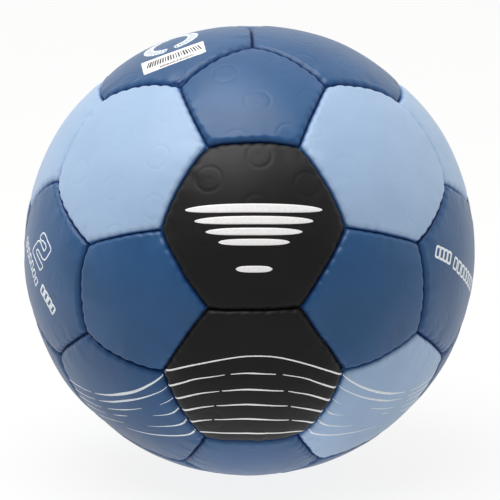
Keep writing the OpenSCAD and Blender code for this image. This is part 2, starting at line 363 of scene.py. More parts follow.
# %% Sizes of the form, in mm
PANEL_CROWN = 0.5               # how far a panel's middle stands over its edges
HALF_GAP = 0.15                 # between a panel's edge and the middle of its seam
ROLL_WIDTH, ROLL_DEPTH = 2.3, 2.1
ROLL_SLACK = 0.3                # share by which the rolled edge's width varies along the seams
CORNER_SOFTNESS = 0.55          # how far the corners of a panel round off
CORNER_SINK, CORNER_REACH = (0.15, 0.7), (3.0, 6.0)    # least and most
TIGHT_SINK, TIGHT_REACH = 1.3, 6.5    # the one corner that is drawn in hard
STITCH_PULL, STITCH_REACH, STITCH_LENGTH = 0.3, 2.0, 1.0
STITCH_WIDENS = 0.4             # share that the roll grows wider at a stitch
RELIEF_REACH = 1.5              # how far a flat seam's lesser relief reaches
SWELL, SWELL_REACH, SWELL_TOP = 0.16, 5.0, 2.5    # height, width, and distance from the seam
SWELL_WAVES, WAVES_SHARE = ((0.55, 1.0), (0.93, 0.7)), 0.3    # radians per mm, and strength
SIDE_WAVE, SIDE_SHARE = 0.7, 0.2    # radians per mm, of the swell that takes turns between sides
LUMP, LUMP_WAVES, LUMP_LENGTHS = 0.12, 14, (22, 46)    # height, how many waves, their lengths
OPEN_FACE = 4.0                 # from the seam, where lumps and pressed rings have full height

waves = unit(random.normal(size=(LUMP_WAVES, 3))) * (
    2 * math.pi / random.uniform(*LUMP_LENGTHS, LUMP_WAVES)[:, None])
wave_starts = random.uniform(0, 2 * math.pi, LUMP_WAVES)
slack_starts = random.uniform(0, 2 * math.pi, LUMP_WAVES)
for panel in panels.values():
    panel["sinks"] = random.uniform(*CORNER_SINK, len(panel["corners"]))
    panel["reaches"] = random.uniform(*CORNER_REACH, len(panel["corners"]))
pulled = panels["hexagon_top_left"]    # its corner over the front
tight = np.argmax(pulled["corners"] @ (
    panels["pentagon_front_top"]["middle"] + panels["hexagon_front_left_upper"]["middle"]))
pulled["sinks"][tight], pulled["reaches"][tight] = TIGHT_SINK, TIGHT_REACH
print("corner sinks:", CORNER_SINK, "and", TIGHT_SINK, "mm")

# %% Dome, distance from the seams, and roll
def crown(panel, directions, drop=0.0):
    """Radius in mm of the plain dome, or of a layer a drop below it."""
    offset = PANEL_CROWN / (1 - panel["edge_cosine"])
    lean = directions @ panel["middle"]
    own = BALL_R - offset - drop
    return offset * lean + np.sqrt(own ** 2 - offset ** 2 * (1 - lean ** 2))


def seam_distances(panel, directions):
    """Distance in mm from each of the panel's seams."""
    return BALL_R * np.arcsin(np.clip(directions @ panel["normals"].T, -1, 1))


def rolled_in(distance, width):
    """How far an edge has rolled in: 0 on the open face, 1 at the seam."""
    return np.clip((width - distance + HALF_GAP) / width, 0, 1)


def roll_drop(share, depth):
    """How far a rolled edge has sunk where it has rolled in by this share."""
    return depth * (1 - np.sqrt(1 - share ** 2))


# %% [markdown]
# The pressed rings stand on a slanted grid on the panel's flat sheet. A ring is a groove with a
# smooth section, so each point only needs its distance to the nearest ring. Panels that a hand
# holds most have worn nearly smooth.

# %% Pressed rings
RING_PITCH, RING_ROWS = 20.2, 18.9              # mm, along a row and between rows
RING_R, RING_GROOVE, RING_DEPTH = 4.9, 0.5, 0.13    # mm
DOT_DEPTH, DOT_R = 0.6, 0.9     # share of the groove's depth, and mm
LEFT_OVER = {"pentagon_front_left": 0.25, "pentagon_front_right": 0.25,
             "hexagon_front_right_upper": 0.6, "hexagon_front_lower": 0.5,
             "hexagon_front_left_lower": 0.5, "hexagon_right_front": 0.6,
             "hexagon_left_front": 0.6, "pentagon_front_bottom": 0.4}
for name, panel in panels.items():
    panel["ring_turn"] = random.uniform(-math.pi, math.pi)
    panel["ring_start"] = random.uniform(0, RING_PITCH, 2)
    panel["ring_depth"] = RING_DEPTH * LEFT_OVER.get(name, 1)
panels["hexagon_front_upper"].update(ring_turn=-0.056, ring_start=(6.8, 0.7))
panels["hexagon_front_left_upper"].update(ring_turn=0.35, ring_start=(-3.3, 17.9))


def pressed_rings(panel, directions):
    """Depth in mm of the rings pressed into the skin."""
    flat = flat_place(panel, directions)
    turn, (start, side) = panel["ring_turn"], panel["ring_start"]
    across = flat @ (math.cos(turn), math.sin(turn)) - side
    along = flat @ (-math.sin(turn), math.cos(turn)) - start
    row = np.round(across / RING_ROWS)
    along -= 0.5 * RING_PITCH * (row % 2)
    place = np.round(along / RING_PITCH)
    out = np.hypot(across - RING_ROWS * row, along - RING_PITCH * place)
    groove = np.exp(-((out - RING_R) / RING_GROOVE) ** 2)
    dot = DOT_DEPTH * np.exp(-(out / DOT_R) ** 2)
    uneven = 0.75 + 0.25 * np.sin(2.1 * place + 3.7 * row + 9 * turn)    # no two rings are alike
    return panel["ring_depth"] * uneven * (groove + dot)


print("rings fade on", len(LEFT_OVER), "panels")

# %% [markdown]
# Now the whole height. The distances from all seams are blended into one smooth distance, which
# rounds the corners, and the pulls and swells of the seams are added up seam by seam.

# %% The outer skin
def skin(panel, directions):
    """Radius in mm of the panel's outer face in some directions, and how far its edge has rolled
    in there."""
    distances = seam_distances(panel, directions)
    softened = np.exp(-np.maximum(distances, 0) / CORNER_SOFTNESS).sum(1)
    nearest = np.maximum(-CORNER_SOFTNESS * np.log(softened + 1e-300), HALF_GAP)
    nearest = np.where(np.isfinite(nearest), nearest, distances.min(1))
    dips, swells = np.zeros(len(directions)), np.zeros(len(directions))
    for k, seam in enumerate(panel["seams"]):
        along = BALL_R * np.arctan2(directions @ seam["along"], directions @ seam["middle"])
        near = np.exp(-(distances[:, k] / STITCH_REACH) ** 2)
        for place, pull in zip(seam["stitches"], seam["pull"]):
            dips += pull * near * np.exp(-((along - place) / STITCH_LENGTH) ** 2)
        swell = sum(strength * np.sin(along * wave + 3 * start)
                    for (wave, strength), start in zip(SWELL_WAVES, seam["wander"]))
        side = 1 if panel["normals"][k] @ seam["across"] > 0 else -1
        reach = np.exp(-((distances[:, k] - SWELL_TOP) / SWELL_REACH) ** 2)
        swells += reach * (
            WAVES_SHARE * swell + SIDE_SHARE * side * np.sin(along * SIDE_WAVE))
    close = np.exp(-distances / RELIEF_REACH)
    relief = close @ [seam["relief"] for seam in panel["seams"]] / close.sum(1)
    phases = directions * BALL_R @ waves.T
    slack = np.tanh(np.cos(phases + slack_starts).sum(1) / math.sqrt(LUMP_WAVES))
    width = ROLL_WIDTH * (1 + ROLL_SLACK * slack) * (1 + STITCH_WIDENS * dips)
    rolled = rolled_in(nearest, width)
    away = BALL_R * np.arccos(np.clip(directions @ panel["corners"].T, -1, 1))
    height = crown(panel, directions) - relief * roll_drop(rolled, ROLL_DEPTH)
    height -= (panel["sinks"] * np.exp(-(away / panel["reaches"]) ** 2)).sum(1)
    height += SWELL * swells - STITCH_PULL * relief * dips
    lumps = np.cos(phases + wave_starts).sum(1) / math.sqrt(LUMP_WAVES)
    inner = np.clip(nearest / OPEN_FACE, 0, 1)
    height += LUMP * lumps * inner - pressed_rings(panel, directions) * inner
    return height, relief * rolled


OPEN_INSET = 8                  # mm from the seams, well on the open face
front = panels["hexagon_front_upper"]
radius = skin(front, ring(front, OPEN_INSET, 40))[0]
print("radius", OPEN_INSET, "mm from the seams:",
      round(radius.min(), 2), "to", round(radius.max(), 2), "mm")

# %% [markdown]
# Sewn by hand, a net of seams is never quite regular. Corners sit up to a few millimetres off
# their ideal place, seams bow towards the slacker panel, and each wanders a little. On the side
# that the photo shows, these moves were measured against the ideal net and are listed in mm. The
# panels have short names here, from the camera's side: T top, B bottom, L left, R right, C the
# middle one. A corner moves east and north; a seam bows from the first panel to the second.

# %% Measured corners and bows
SHORT_NAMES = {
    "C": "hexagon_front_upper", "B": "hexagon_front_lower", "T": "pentagon_front_top",
    "TL": "hexagon_front_left_upper", "TR": "hexagon_front_right_upper",
    "BL": "pentagon_front_left", "BR": "pentagon_front_right", "TTL": "hexagon_top_left",
    "TTR": "hexagon_top_right", "X": "pentagon_left_upper", "Y": "pentagon_right_upper",
    "L": "hexagon_left_front", "R": "hexagon_right_front", "BBL": "hexagon_front_left_lower",
    "BBR": "hexagon_front_right_lower", "P": "pentagon_front_bottom", "LL": "pentagon_left_lower",
    "RL": "pentagon_right_lower", "BOL": "hexagon_bottom_left", "BOR": "hexagon_bottom_right",
}
CORNER_MOVES = {
    "BBL BOL P": (1.8, -1.4), "B BBL P": (-0.5, -1.7), "BBR BOR P": (-2.9, 1.4),
    "B BBR P": (0.3, -0.9), "BBL L LL": (1.2, 0.8), "B BBL BL": (0.5, 0.0),
    "BBL BL L": (-0.1, -0.4), "BL C TL": (-0.1, -0.4), "BL L TL": (0.5, 0.0),
    "B BL C": (-0.1, -0.4), "C T TL": (-0.1, 1.1), "T TL TTL": (0.3, 0.5), "C T TR": (0.2, 0.9),
    "T TTL TTR": (0.5, 1.1), "T TR TTR": (0.5, 0.2), "BBR R RL": (-0.6, 0.6),
    "L TL X": (-1.4, 0.3), "TL TTL X": (-3.1, 0.6), "B BBR BR": (-0.2, 0.4),
    "B BR C": (0.2, -0.1), "BR C TR": (0.3, 0.2), "BBR BR R": (-0.1, -0.1),
    "BR R TR": (0.2, 0.2), "TR TTR Y": (0.7, -0.1), "R TR Y": (0.6, -0.8),
}
SEAM_BOWS = {
    "BBL P": 0.3, "BBR P": 0.5, "BBL L": 0.6, "BL BBL": 1.0, "B BL": 0.9, "BL L": 1.5,
    "C BL": 1.1, "C TL": 1.1, "TL L": 1.2, "C B": 0.1, "T TL": 0.2, "C T": 1.1, "T TTL": 0.3,
    "TL TTL": 1.9, "TR T": 0.7, "C TR": 0.8, "T TTR": 1.2, "TTL TTR": 0.3, "TR TTR": 2.1,
    "BBR R": 0.3, "B BR": 0.3, "BR BBR": 0.6, "C BR": 0.5, "TR BR": 0.1, "BR R": 1.0,
    "TR R": 1.3, "TR Y": 2.2, "TL BL": 0.0, "B P": -0.4, "B BBR": 1.5, "B BBL": 1.0,
    "TL X": 0.0, "L X": 0.8,
}
FLAT_SEAMS = {"TR Y": 0.35, "TL X": 0.35}    # the share of the usual relief that these show
UNSEEN_MOVE = 0.4               # mm, spread of the corners that the photo doesn't show
UNSEEN_BOW, UNSEEN_MOST = 0.8, 1.6    # mm, spread of the bows that it doesn't show, and the most
BOW, WANDER, WANDER_REACH = 0.35, 0.16, 9.0    # mm, each pentagon's own bow, and the wander
hand = np.random.default_rng(7)


def shared_corners(short_names):
    """Numbers of the corners that the named panels have in common."""
    sets = [set(panels[SHORT_NAMES[k]]["corner_numbers"].tolist()) for k in short_names.split()]
    return sorted(set.intersection(*sets))


corner_moves = {k: (*hand.normal(0, UNSEEN_MOVE, 2),) for k in range(len(CORNERS))}
for seam in seams.values():
    seam["bow"] = float(np.clip(hand.normal(0, UNSEEN_BOW), -UNSEEN_MOST, UNSEEN_MOST))
for short_names, move in CORNER_MOVES.items():
    corner_moves[shared_corners(short_names)[0]] = move
for short_names, bow in SEAM_BOWS.items():
    seam = seams[tuple(shared_corners(short_names))]
    second = panels[SHORT_NAMES[short_names.split()[1]]]
    seam["bow"] = bow if second["middle"] @ seam["across"] > 0 else -bow
for short_names, relief in FLAT_SEAMS.items():
    seams[tuple(shared_corners(short_names))]["relief"] = relief
for number, (east_mm, north_mm) in corner_moves.items():
    east = unit(np.cross((0, 0, 1), CORNERS[number]))
    corner_moves[number] = east * east_mm + np.cross(CORNERS[number], east) * north_mm
for panel in panels.values():
    if len(panel["corners"]) == 5:
        for normal, seam in zip(panel["normals"], panel["seams"]):
            seam["round_pentagon"] = True
            seam["bow"] += -BOW if normal @ seam["across"] > 0 else BOW
print("corners:", len(corner_moves), "seams round pentagons:",
      sum("round_pentagon" in seam for seam in seams.values()))

# %% [markdown]
# Both panels of a seam, their foam and lining, and the thread are all moved by the same amount.
# The move of a corner fades out along its three seams and is zero at the next corner; the bow of
# a seam is zero at its ends and fades out inside the panels.

# %% Move the seams
def moved(directions, own_seams, corner_numbers):
    """Directions moved sideways with the seams and corners they lie near."""
    move = np.zeros_like(directions)
    for seam in own_seams:
        along = BALL_R * np.arctan2(directions @ seam["along"], directions @ seam["middle"])
        off = BALL_R * np.arcsin(np.clip(directions @ seam["across"], -1, 1))
        part = np.clip(along / seam["half"], -1, 1)
        once, twice = seam["wander"][2:]
        drift = WANDER * (once * np.sin(math.pi * part) + twice * np.sin(2 * math.pi * part))
        amount = (drift + seam["bow"]) * (1 - part ** 2) * np.exp(-(off / WANDER_REACH) ** 2)
        move += amount[:, None] * seam["across"]
    seam_length = 2 * own_seams[0]["half"]
    for number in corner_numbers:
        away = BALL_R * np.arccos(np.clip(directions @ CORNERS[number], -1, 1)) / seam_length
        weight = np.where(away < 1, np.cos(away * math.pi / 2) ** 2, 0)
        move += weight[:, None] * corner_moves[number]
    return unit(directions + move / BALL_R)


def sewn(panel, directions):
    """Directions moved with the panel's seams."""
    return moved(directions, panel["seams"], panel["corner_numbers"])


# %% [markdown]
# ## From rings to a mesh
#
# A piece is a list of rings of 3-D points. Two rings with the same number of points are joined
# by a band of faces, two rings of the even triangles by a band that gains one point on each
# side, and the first and last ring are closed with a fan. The outer face is listed first and
# runs from the middle out, then down the turned-in edge and back along the inside.

# %% Bands, fans and mesh objects
def band(first, second, count):
    """Quads between two rings of count points that start at these vertex numbers."""
    here = np.arange(count)
    there = np.roll(here, -1)
    return np.stack([first + here, second + here, second + there, first + there], 1)


def gaining_band(first, second, sides, step):
    """Triangles between a ring of step - 1 points a side and the next of step points a side."""
    faces = []
    inner_count, outer_count = sides * (step - 1), sides * step
    for side in range(sides):
        for j in range(step):
            a = second + (side * step + j) % outer_count
            b = second + (side * step + j + 1) % outer_count
            c = first + (side * (step - 1) + j) % inner_count
            faces.append((c, a, b))
            if j < step - 1:
                d = first + (side * (step - 1) + j + 1) % inner_count
                faces.append((c, b, d))
    return faces


def fan(middle, start, count, outwards=True):
    """Triangles from one middle point to a ring."""
    here = start + np.arange(count)
    there = np.roll(here, -1)
    pair = (here, there) if outwards else (there, here)
    return [(middle, a, b) for a, b in zip(*pair)]


def make_piece(name, points_mm, faces, material, flat=None, rolls=None):
    """A smooth-shaded mesh object from points in mm, with an optional UV map in mm and how far
    its edge has rolled in."""
    mesh = bpy.data.meshes.new(name)
    mesh.from_pydata((np.asarray(points_mm) * MM).tolist(), [], [list(f) for f in faces])
    mesh.materials.append(material)
    mesh.polygons.foreach_set("use_smooth", [True] * len(mesh.polygons))
    if flat is not None:
        layer = mesh.uv_layers.new(name="panel_mm")
        corner = np.zeros(len(mesh.loops), int)
        mesh.loops.foreach_get("vertex_index", corner)
        layer.data.foreach_set("uv", np.asarray(flat, float)[corner].ravel())
    if rolls is not None:
        mesh.attributes.new("seam_roll", "FLOAT", "POINT").data.foreach_set("value", rolls)
    mesh.update()
    return add_object(name, mesh)


def make_wire(name, paths_mm):
    """A mesh object of bare edges along some paths in mm, for a tree to work on."""
    edges, start = [], 0
    for path in paths_mm:
        edges += [(start + k, start + k + 1) for k in range(len(path) - 1)]
        start += len(path)
    mesh = bpy.data.meshes.new(name)
    mesh.from_pydata((np.concatenate(paths_mm) * MM).tolist(), edges, [])
    return add_object(name, mesh)


# %% [markdown]
# ## The 32 panels
#
# Real panels could be modelled by sculpting a subdivided polyhedron, but then each seam would be
# a crease in one skin. Here every panel is its own closed shell with a turned-in edge, as it is
# cut and sewn, and the seam is the real gap between two shells. The panel that takes the valve
# has a round hole in its middle, so there the rings run to the hole and over its edge instead of
# to a point.

# %% Build one panel
LATTICE = 52                    # steps from the middle to the even ring, about 0.6 mm each
EVEN_INSET = 3.0                # mm, from the seams to the even ring
EDGE_INSETS = [2.6, 2.25, 1.95, 1.7, 1.45, 1.2, 1.0, 0.82, 0.66, 0.52, 0.4, 0.3, 0.22]
SKIN, INNER_ROLL, RAW_EDGE_R = 1.0, 1.4, 81.235    # mm, as in the CAD
FLANGE_DEPTHS, FLANGE_END = [0.5, 1.2, 2.2], 0.3    # mm under the roll, and over the raw edge
INNER_STEPS = [0, 0.1, 0.35, 0.8, INNER_ROLL]
DOME_SHARES = [0.86, 0.7, 0.54, 0.38, 0.22, 0.1]


def outer_rings(panel):
    """Points, rolls and faces of the outer face down to the rolled edge, and the last start."""
    points, rolls, faces, start = [], [], [], 0
    if panel["hole"]:
        ground = [ring(panel, EVEN_INSET, LATTICE, k / LATTICE) for k in range(LATTICE)]
    else:
        ground = [panel["middle"][None]]
        ground += [ring(panel, EVEN_INSET, k, k / LATTICE) for k in range(1, LATTICE)]
    ground += [ring(panel, inset, LATTICE) for inset in [EVEN_INSET, *EDGE_INSETS, HALF_GAP]]
    for k, directions in enumerate(ground):
        radius, rolled = skin(panel, directions)
        points.append(sewn(panel, directions) * radius[:, None])
        rolls.append(rolled)
        after = start + len(directions)
        if k + 1 < len(ground):
            if panel["hole"] or k >= LATTICE:
                faces += band(start, after, len(directions)).tolist()
            elif k == 0:
                faces += fan(0, 1, len(panel["corners"]))
            else:
                faces += gaining_band(start, after, len(panel["corners"]), k + 1)
            start = after
    return points, rolls, faces, start


# %% Close the panel with its turned-in edge and its inside
def inner_rings(panel, rim_points):
    """Rings down the seam, across the raw edge, up inside and back to the middle."""
    heights = np.linalg.norm(rim_points, axis=1)[:, None]
    rim = unit(rim_points)
    rings = [rim * np.maximum(heights - depth, RAW_EDGE_R + FLANGE_END) for depth in FLANGE_DEPTHS]
    inset = HALF_GAP + SKIN
    rings += [rim * RAW_EDGE_R, sewn(panel, ring(panel, inset, LATTICE)) * RAW_EDGE_R]
    for step in INNER_STEPS:
        directions = ring(panel, inset + step, LATTICE)
        radius = crown(panel, directions, SKIN)
        radius -= roll_drop(rolled_in(inset + step - SKIN, INNER_ROLL), INNER_ROLL)
        rings.append(sewn(panel, directions) * radius[:, None])
    for share in DOME_SHARES:
        directions = ring(panel, inset + INNER_ROLL, LATTICE, share)
        rings.append(sewn(panel, directions) * crown(panel, directions, SKIN)[:, None])
    return rings


def build_panel(panel):
    """The closed shell of one panel, riding on the ball and standing for its CAD node."""
    points, rolls, faces, start = outer_rings(panel)
    for ring_points in inner_rings(panel, points[-1]):
        after = start + len(points[-1])
        faces += band(start, after, len(ring_points)).tolist()
        points.append(ring_points)
        start = after
    count = len(points[-1])
    if panel["hole"]:
        directions = ring(panel, EVEN_INSET, LATTICE, 0)
        points.append(directions * crown(panel, directions, SKIN)[:, None])
        faces += band(start, start + count, count).tolist()
        faces += band(start + count, 0, count).tolist()
    else:
        points.append((panel["middle"] * (BALL_R - SKIN))[None])
        faces += fan(start + count, start, count, outwards=False)
    points, rolls = np.concatenate(points), np.concatenate(rolls)
    piece = make_piece("cover_" + panel["name"], points, faces, LEATHERS[panel["slot"]],
                       flat_place(panel, unit(points)),
                       np.pad(rolls, (0, len(points) - len(rolls)), constant_values=1))
    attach(piece, "root")
    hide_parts(panel["name"])
    return piece


# %% Build all panels
for name, panel in panels.items():
    panel["piece"] = build_panel(panel)
triangles = sum(len(face.vertices) - 2 for panel in panels.values()
                for face in panel["piece"].data.polygons)
print("panels built:", len(panels), "with", triangles, "triangles")

# %% [markdown]
# ## Geometry Nodes trees, and how they become plain meshes
#
# What repeats or follows the ball is made with Geometry Nodes. Each tree gets named inputs, a
# modifier sets them by their identifiers, and the evaluated result is copied to a plain mesh, so
# that nothing live is left on the piece.

# %% Helpers for trees
def start_tree(name, inputs):
    """A Geometry Nodes tree with a geometry in and out, and the other inputs by name and type."""
    tree = bpy.data.node_groups.new(name, "GeometryNodeTree")
    tree.interface.new_socket("Geometry", in_out="INPUT", socket_type="NodeSocketGeometry")
    for socket, kind in inputs.items():
        tree.interface.new_socket(socket, in_out="INPUT", socket_type="NodeSocket" + kind)
    tree.interface.new_socket("Geometry", in_out="OUTPUT", socket_type="NodeSocketGeometry")
    return tree, add_node(tree, "NodeGroupInput").outputs


def run_tree(piece, tree, values):
    """Adds the tree to a piece as a modifier with these values."""
    modifier = piece.modifiers.new(tree.name, "NODES")
    modifier.node_group = tree
    for item in tree.interface.items_tree:
        if item.in_out == "INPUT" and item.name in values:
            modifier[item.identifier] = values[item.name]


def end_tree(tree, geometry, material):
    """Gives what a tree has made its material and hands it out."""
    coloured = add_node(tree, "GeometryNodeSetMaterial", {
        "Geometry": geometry, "Material": material})
    add_node(tree, "NodeGroupOutput", {0: coloured})


def make_plain(piece):
    """Replaces a piece's mesh by what its modifiers make of it, and removes them."""
    bpy.context.view_layer.update()
    graph = bpy.context.evaluated_depsgraph_get()
    result = bpy.data.meshes.new_from_object(piece.evaluated_get(graph), depsgraph=graph)
    piece.modifiers.clear()
    piece.data = result
    piece.data.name = piece.name
    result.polygons.foreach_set("use_smooth", [True] * len(result.polygons))
    return piece


# %% [markdown]
# ## Printing ink and the other plain finishes
#
# The marks are screen-printed: a film of white ink a few hundredths of a millimetre thick, a
# little glossier than the skin and not perfectly dense, so over blue skin it looks bluish.
# Ink, foam, thread, latex and rubber all look right with one plain recipe: a grain that changes
# the colour a little and stands out in shallow relief. So one function makes them, and each only
# says what sets it apart.

# %% Ink materials
def finish_with(tree, pattern, colours, relief, surface, ends=(0, 1)):
    """Ends a material: a pattern blends two colours between two of its values, and stands out in
    a relief of this strength and depth in mm."""
    shade = add_node(tree, "ShaderNodeValToRGB", {"Fac": pattern})
    for element, end, colour in zip(shade.color_ramp.elements, ends, colours):
        element.position, element.color = end, linear(colour)
    strength, depth = relief
    bump = add_node(tree, "ShaderNodeBump", {
        "Height": pattern, "Strength": strength, "Distance": depth * MM})
    shader = add_node(tree, "ShaderNodeBsdfPrincipled", {
        "Base Color": shade, "Normal": bump, **surface})
    add_node(tree, "ShaderNodeOutputMaterial", {"Surface": shader})


def grained(name, kind, size_mm, grain, colours, relief, surface, ends=(0, 1)):
    """A material with the grain of a noise or of cells, this many mm wide."""
    material, tree = start_material(name)
    texture = add_node(tree, "ShaderNodeTex" + kind, {
        "Vector": add_node(tree, "ShaderNodeTexCoord").outputs["Object"],
        "Scale": per_metre(size_mm), **grain})
    finish_with(tree, texture, colours, relief, surface, ends)
    return material


def printing_ink(name, thin_hex, hex_colour, roughness):
    """Screen-printing ink with slightly thinner patches."""
    return grained(name, "Noise", 1.2, {"Detail": 4, "Roughness": 0.7}, (thin_hex, hex_colour),
                   (0.15, 0.03), {"Roughness": roughness, "IOR": 1.48}, ends=(0.3, 0.55))


WHITE_INK = printing_ink("screen_ink_white", "#f1f1f4", "#fdfcfd", 0.42)
THIN_INK = printing_ink("screen_ink_over_blue", "#e0edf9", "#f3f9ff", 0.42)
BLACK_INK = printing_ink("screen_ink_black", "#34363a", "#232427", 0.45)

# %% [markdown]
# ## Wrapping a flat print onto a panel
#
# Each print is drawn flat, in millimetres on the sheet that touches the panel's middle. A tree
# then sends every point towards the ball's centre until it meets the skin, and lifts it by its
# own height. So the ink follows every dome, dip and rolled edge of the panel that carries it.

# %% The wrapping tree
wrap, given = start_tree("wrap_print", {
    "Panel": "Object", "Middle": "Vector", "Right": "Vector", "Up": "Vector",
    "Ball Radius": "Float", "Ink": "Material"})
flat = add_node(wrap, "ShaderNodeSeparateXYZ", {0: add_node(wrap, "GeometryNodeInputPosition")})


def scaled(vector, amount):
    """A vector in the tree, times a number."""
    return add_node(wrap, "ShaderNodeVectorMath", {0: vector, "Scale": amount}, operation="SCALE")


def summed(first, second):
    """The sum of two vectors in the tree."""
    return add_node(wrap, "ShaderNodeVectorMath", {0: first, 1: second}, operation="ADD")


aim = summed(summed(
    scaled(given["Middle"], given["Ball Radius"]), scaled(given["Right"], flat.outputs["X"])),
    scaled(given["Up"], flat.outputs["Y"]))
outwards = add_node(wrap, "ShaderNodeVectorMath", {0: aim}, operation="NORMALIZE")
carrier = add_node(wrap, "GeometryNodeObjectInfo", {"Object": given["Panel"]})
START_OUT, RAY_LENGTH = 1.1, 0.2    # ball radii: where a ray towards the skin starts, and ends
hit = add_node(wrap, "GeometryNodeRaycast", {
    "Target Geometry": carrier.outputs["Geometry"],
    "Source Position": scaled(outwards, START_OUT * BALL_R * MM),
    "Ray Direction": scaled(outwards, -1), "Ray Length": RAY_LENGTH * BALL_R * MM})
placed = add_node(wrap, "GeometryNodeSetPosition", {
    "Geometry": given["Geometry"],
    "Position": summed(hit.outputs["Hit Position"], scaled(outwards, flat.outputs["Z"]))})
end_tree(wrap, placed, given["Ink"])

# %% [markdown]
# A stroke is a ribbon that follows a smooth path and swells or tapers along it. It is drawn as a
# thin closed slab, its top just above the skin and its underside just below.

# %% Strokes
INK_TOP, INK_BOTTOM = 0.035, -0.05    # mm from the skin
INK_STEP = 0.7                        # mm between points
PRINT_MARGIN = 0.55                   # mm of bare skin that a print leaves at a seam
STROKE_COLUMNS = 3                    # points across a stroke
CURVE_STEPS = 24                      # between two given points of a path, before it is evened


def smooth_path(points, closed=False):
    """Even points along a smooth curve through the given ones."""
    points = np.asarray(points, float)
    if closed:
        points = np.vstack([points[-1], points, points[0], points[1]])
    else:
        points = np.vstack([2 * points[0] - points[1], points, 2 * points[-1] - points[-2]])
    t = np.linspace(0, 1, CURVE_STEPS, endpoint=False)[:, None]
    dense = []
    for a, b, c, d in zip(points, points[1:], points[2:], points[3:]):
        dense.append(0.5 * (2 * b + (c - a) * t + (2 * a - 5 * b + 4 * c - d) * t ** 2
                            + (3 * b - a - 3 * c + d) * t ** 3))
    dense = np.vstack([*dense, points[-2]])
    length = np.concatenate([[0], np.cumsum(np.linalg.norm(np.diff(dense, axis=0), axis=1))])
    even = np.linspace(0, length[-1], max(4, int(length[-1] / INK_STEP) + 1))
    return np.stack([np.interp(even, length, dense[:, k]) for k in (0, 1)], 1)


def slab(grid, closed=False):
    """Points and faces of a thin closed slab over a grid of flat places. If closed, its last row
    meets its first."""
    rows, columns = grid.shape[:2]
    count = rows * columns
    flat_points = grid.reshape(-1, 2)
    points = np.concatenate([
        np.column_stack([flat_points, np.full(count, height)])
        for height in (INK_TOP, INK_BOTTOM)])
    number = np.arange(count).reshape(rows, columns)
    if closed:
        number = np.vstack([number, number[:1]])
    a, b, c, d = number[:-1, :-1], number[1:, :-1], number[1:, 1:], number[:-1, 1:]
    top = np.stack([a, b, c, d], 2).reshape(-1, 4)
    near, far = number[:, 0], number[::-1, -1]
    rims = [near, far] if closed else [
        np.concatenate([near, number[-1, 1:-1], far, number[0, -2::-1]])]
    rim = np.concatenate([r[:-1] for r in rims])
    next_rim = np.concatenate([r[1:] for r in rims])
    walls = np.stack([rim, rim + count, next_rim + count, next_rim], 1)
    return points, np.concatenate([top, top[:, ::-1] + count, walls])


def stroke(points, widths, closed=False):
    """A ribbon along a path whose widths in mm are given at even places along it."""
    path = smooth_path(points, closed=closed)
    ahead = unit(np.gradient(path, axis=0))
    left = np.stack([-ahead[:, 1], ahead[:, 0]], 1)
    share = np.linspace(0, 1, len(path))
    half = np.interp(share, np.linspace(0, 1, len(widths)), widths) / 2
    across = np.linspace(-1, 1, STROKE_COLUMNS)
    grid = path[:, None] + left[:, None] * half[:, None, None] * across[None, :, None]
    return slab(grid[:-1] if closed else grid, closed)


# %% Print onto a panel
def kept_on(panel, places):
    """Flat places, with those that would slip into a seam drawn back onto the panel."""
    directions = direction_of(panel, places)
    before_sewing = unit(2 * directions - sewn(panel, directions))
    short = np.maximum(PRINT_MARGIN - seam_distances(panel, before_sewing), 0)
    return flat_place(panel, unit(directions + short @ panel["normals"] / BALL_R))


def ink_on(panel):
    """The white ink as it looks on this panel's skin."""
    return WHITE_INK if panel["slot"] == "skin_black" else THIN_INK


def print_piece(name, panel_name, slabs, ink=None):
    """Slabs on one panel, wrapped onto it as one piece."""
    panel = panels[panel_name]
    ink = ink or ink_on(panel)
    points, faces, start = [], [], 0
    for slab_points, slab_faces in slabs:
        points.append(slab_points)
        faces += (slab_faces + start).tolist()
        start += len(slab_points)
    points = np.concatenate(points)
    points[:, :2] = kept_on(panel, points[:, :2])
    return wrap_piece(make_piece(name, points, faces, ink), panel, ink)


def wrap_piece(piece, panel, ink):
    """Wraps a flat piece onto a panel and rides it on the ball."""
    run_tree(piece, wrap, {
        "Panel": panel["piece"], "Middle": panel["middle"].tolist(),
        "Right": panel["right"].tolist(), "Up": panel["up"].tolist(),
        "Ball Radius": BALL_R * MM, "Ink": ink})
    make_plain(piece)
    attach(piece, "root")
    return piece


# %% [markdown]
# ## The flowing lines
#
# Six thin lines run round the lower front of the ball like the wake of a boat. Each was printed
# before the panels were sewn, so it stops at a seam and goes on, a little out of register, on
# the next panel. The lines swell and taper, and each is broken once or twice by a short gap.

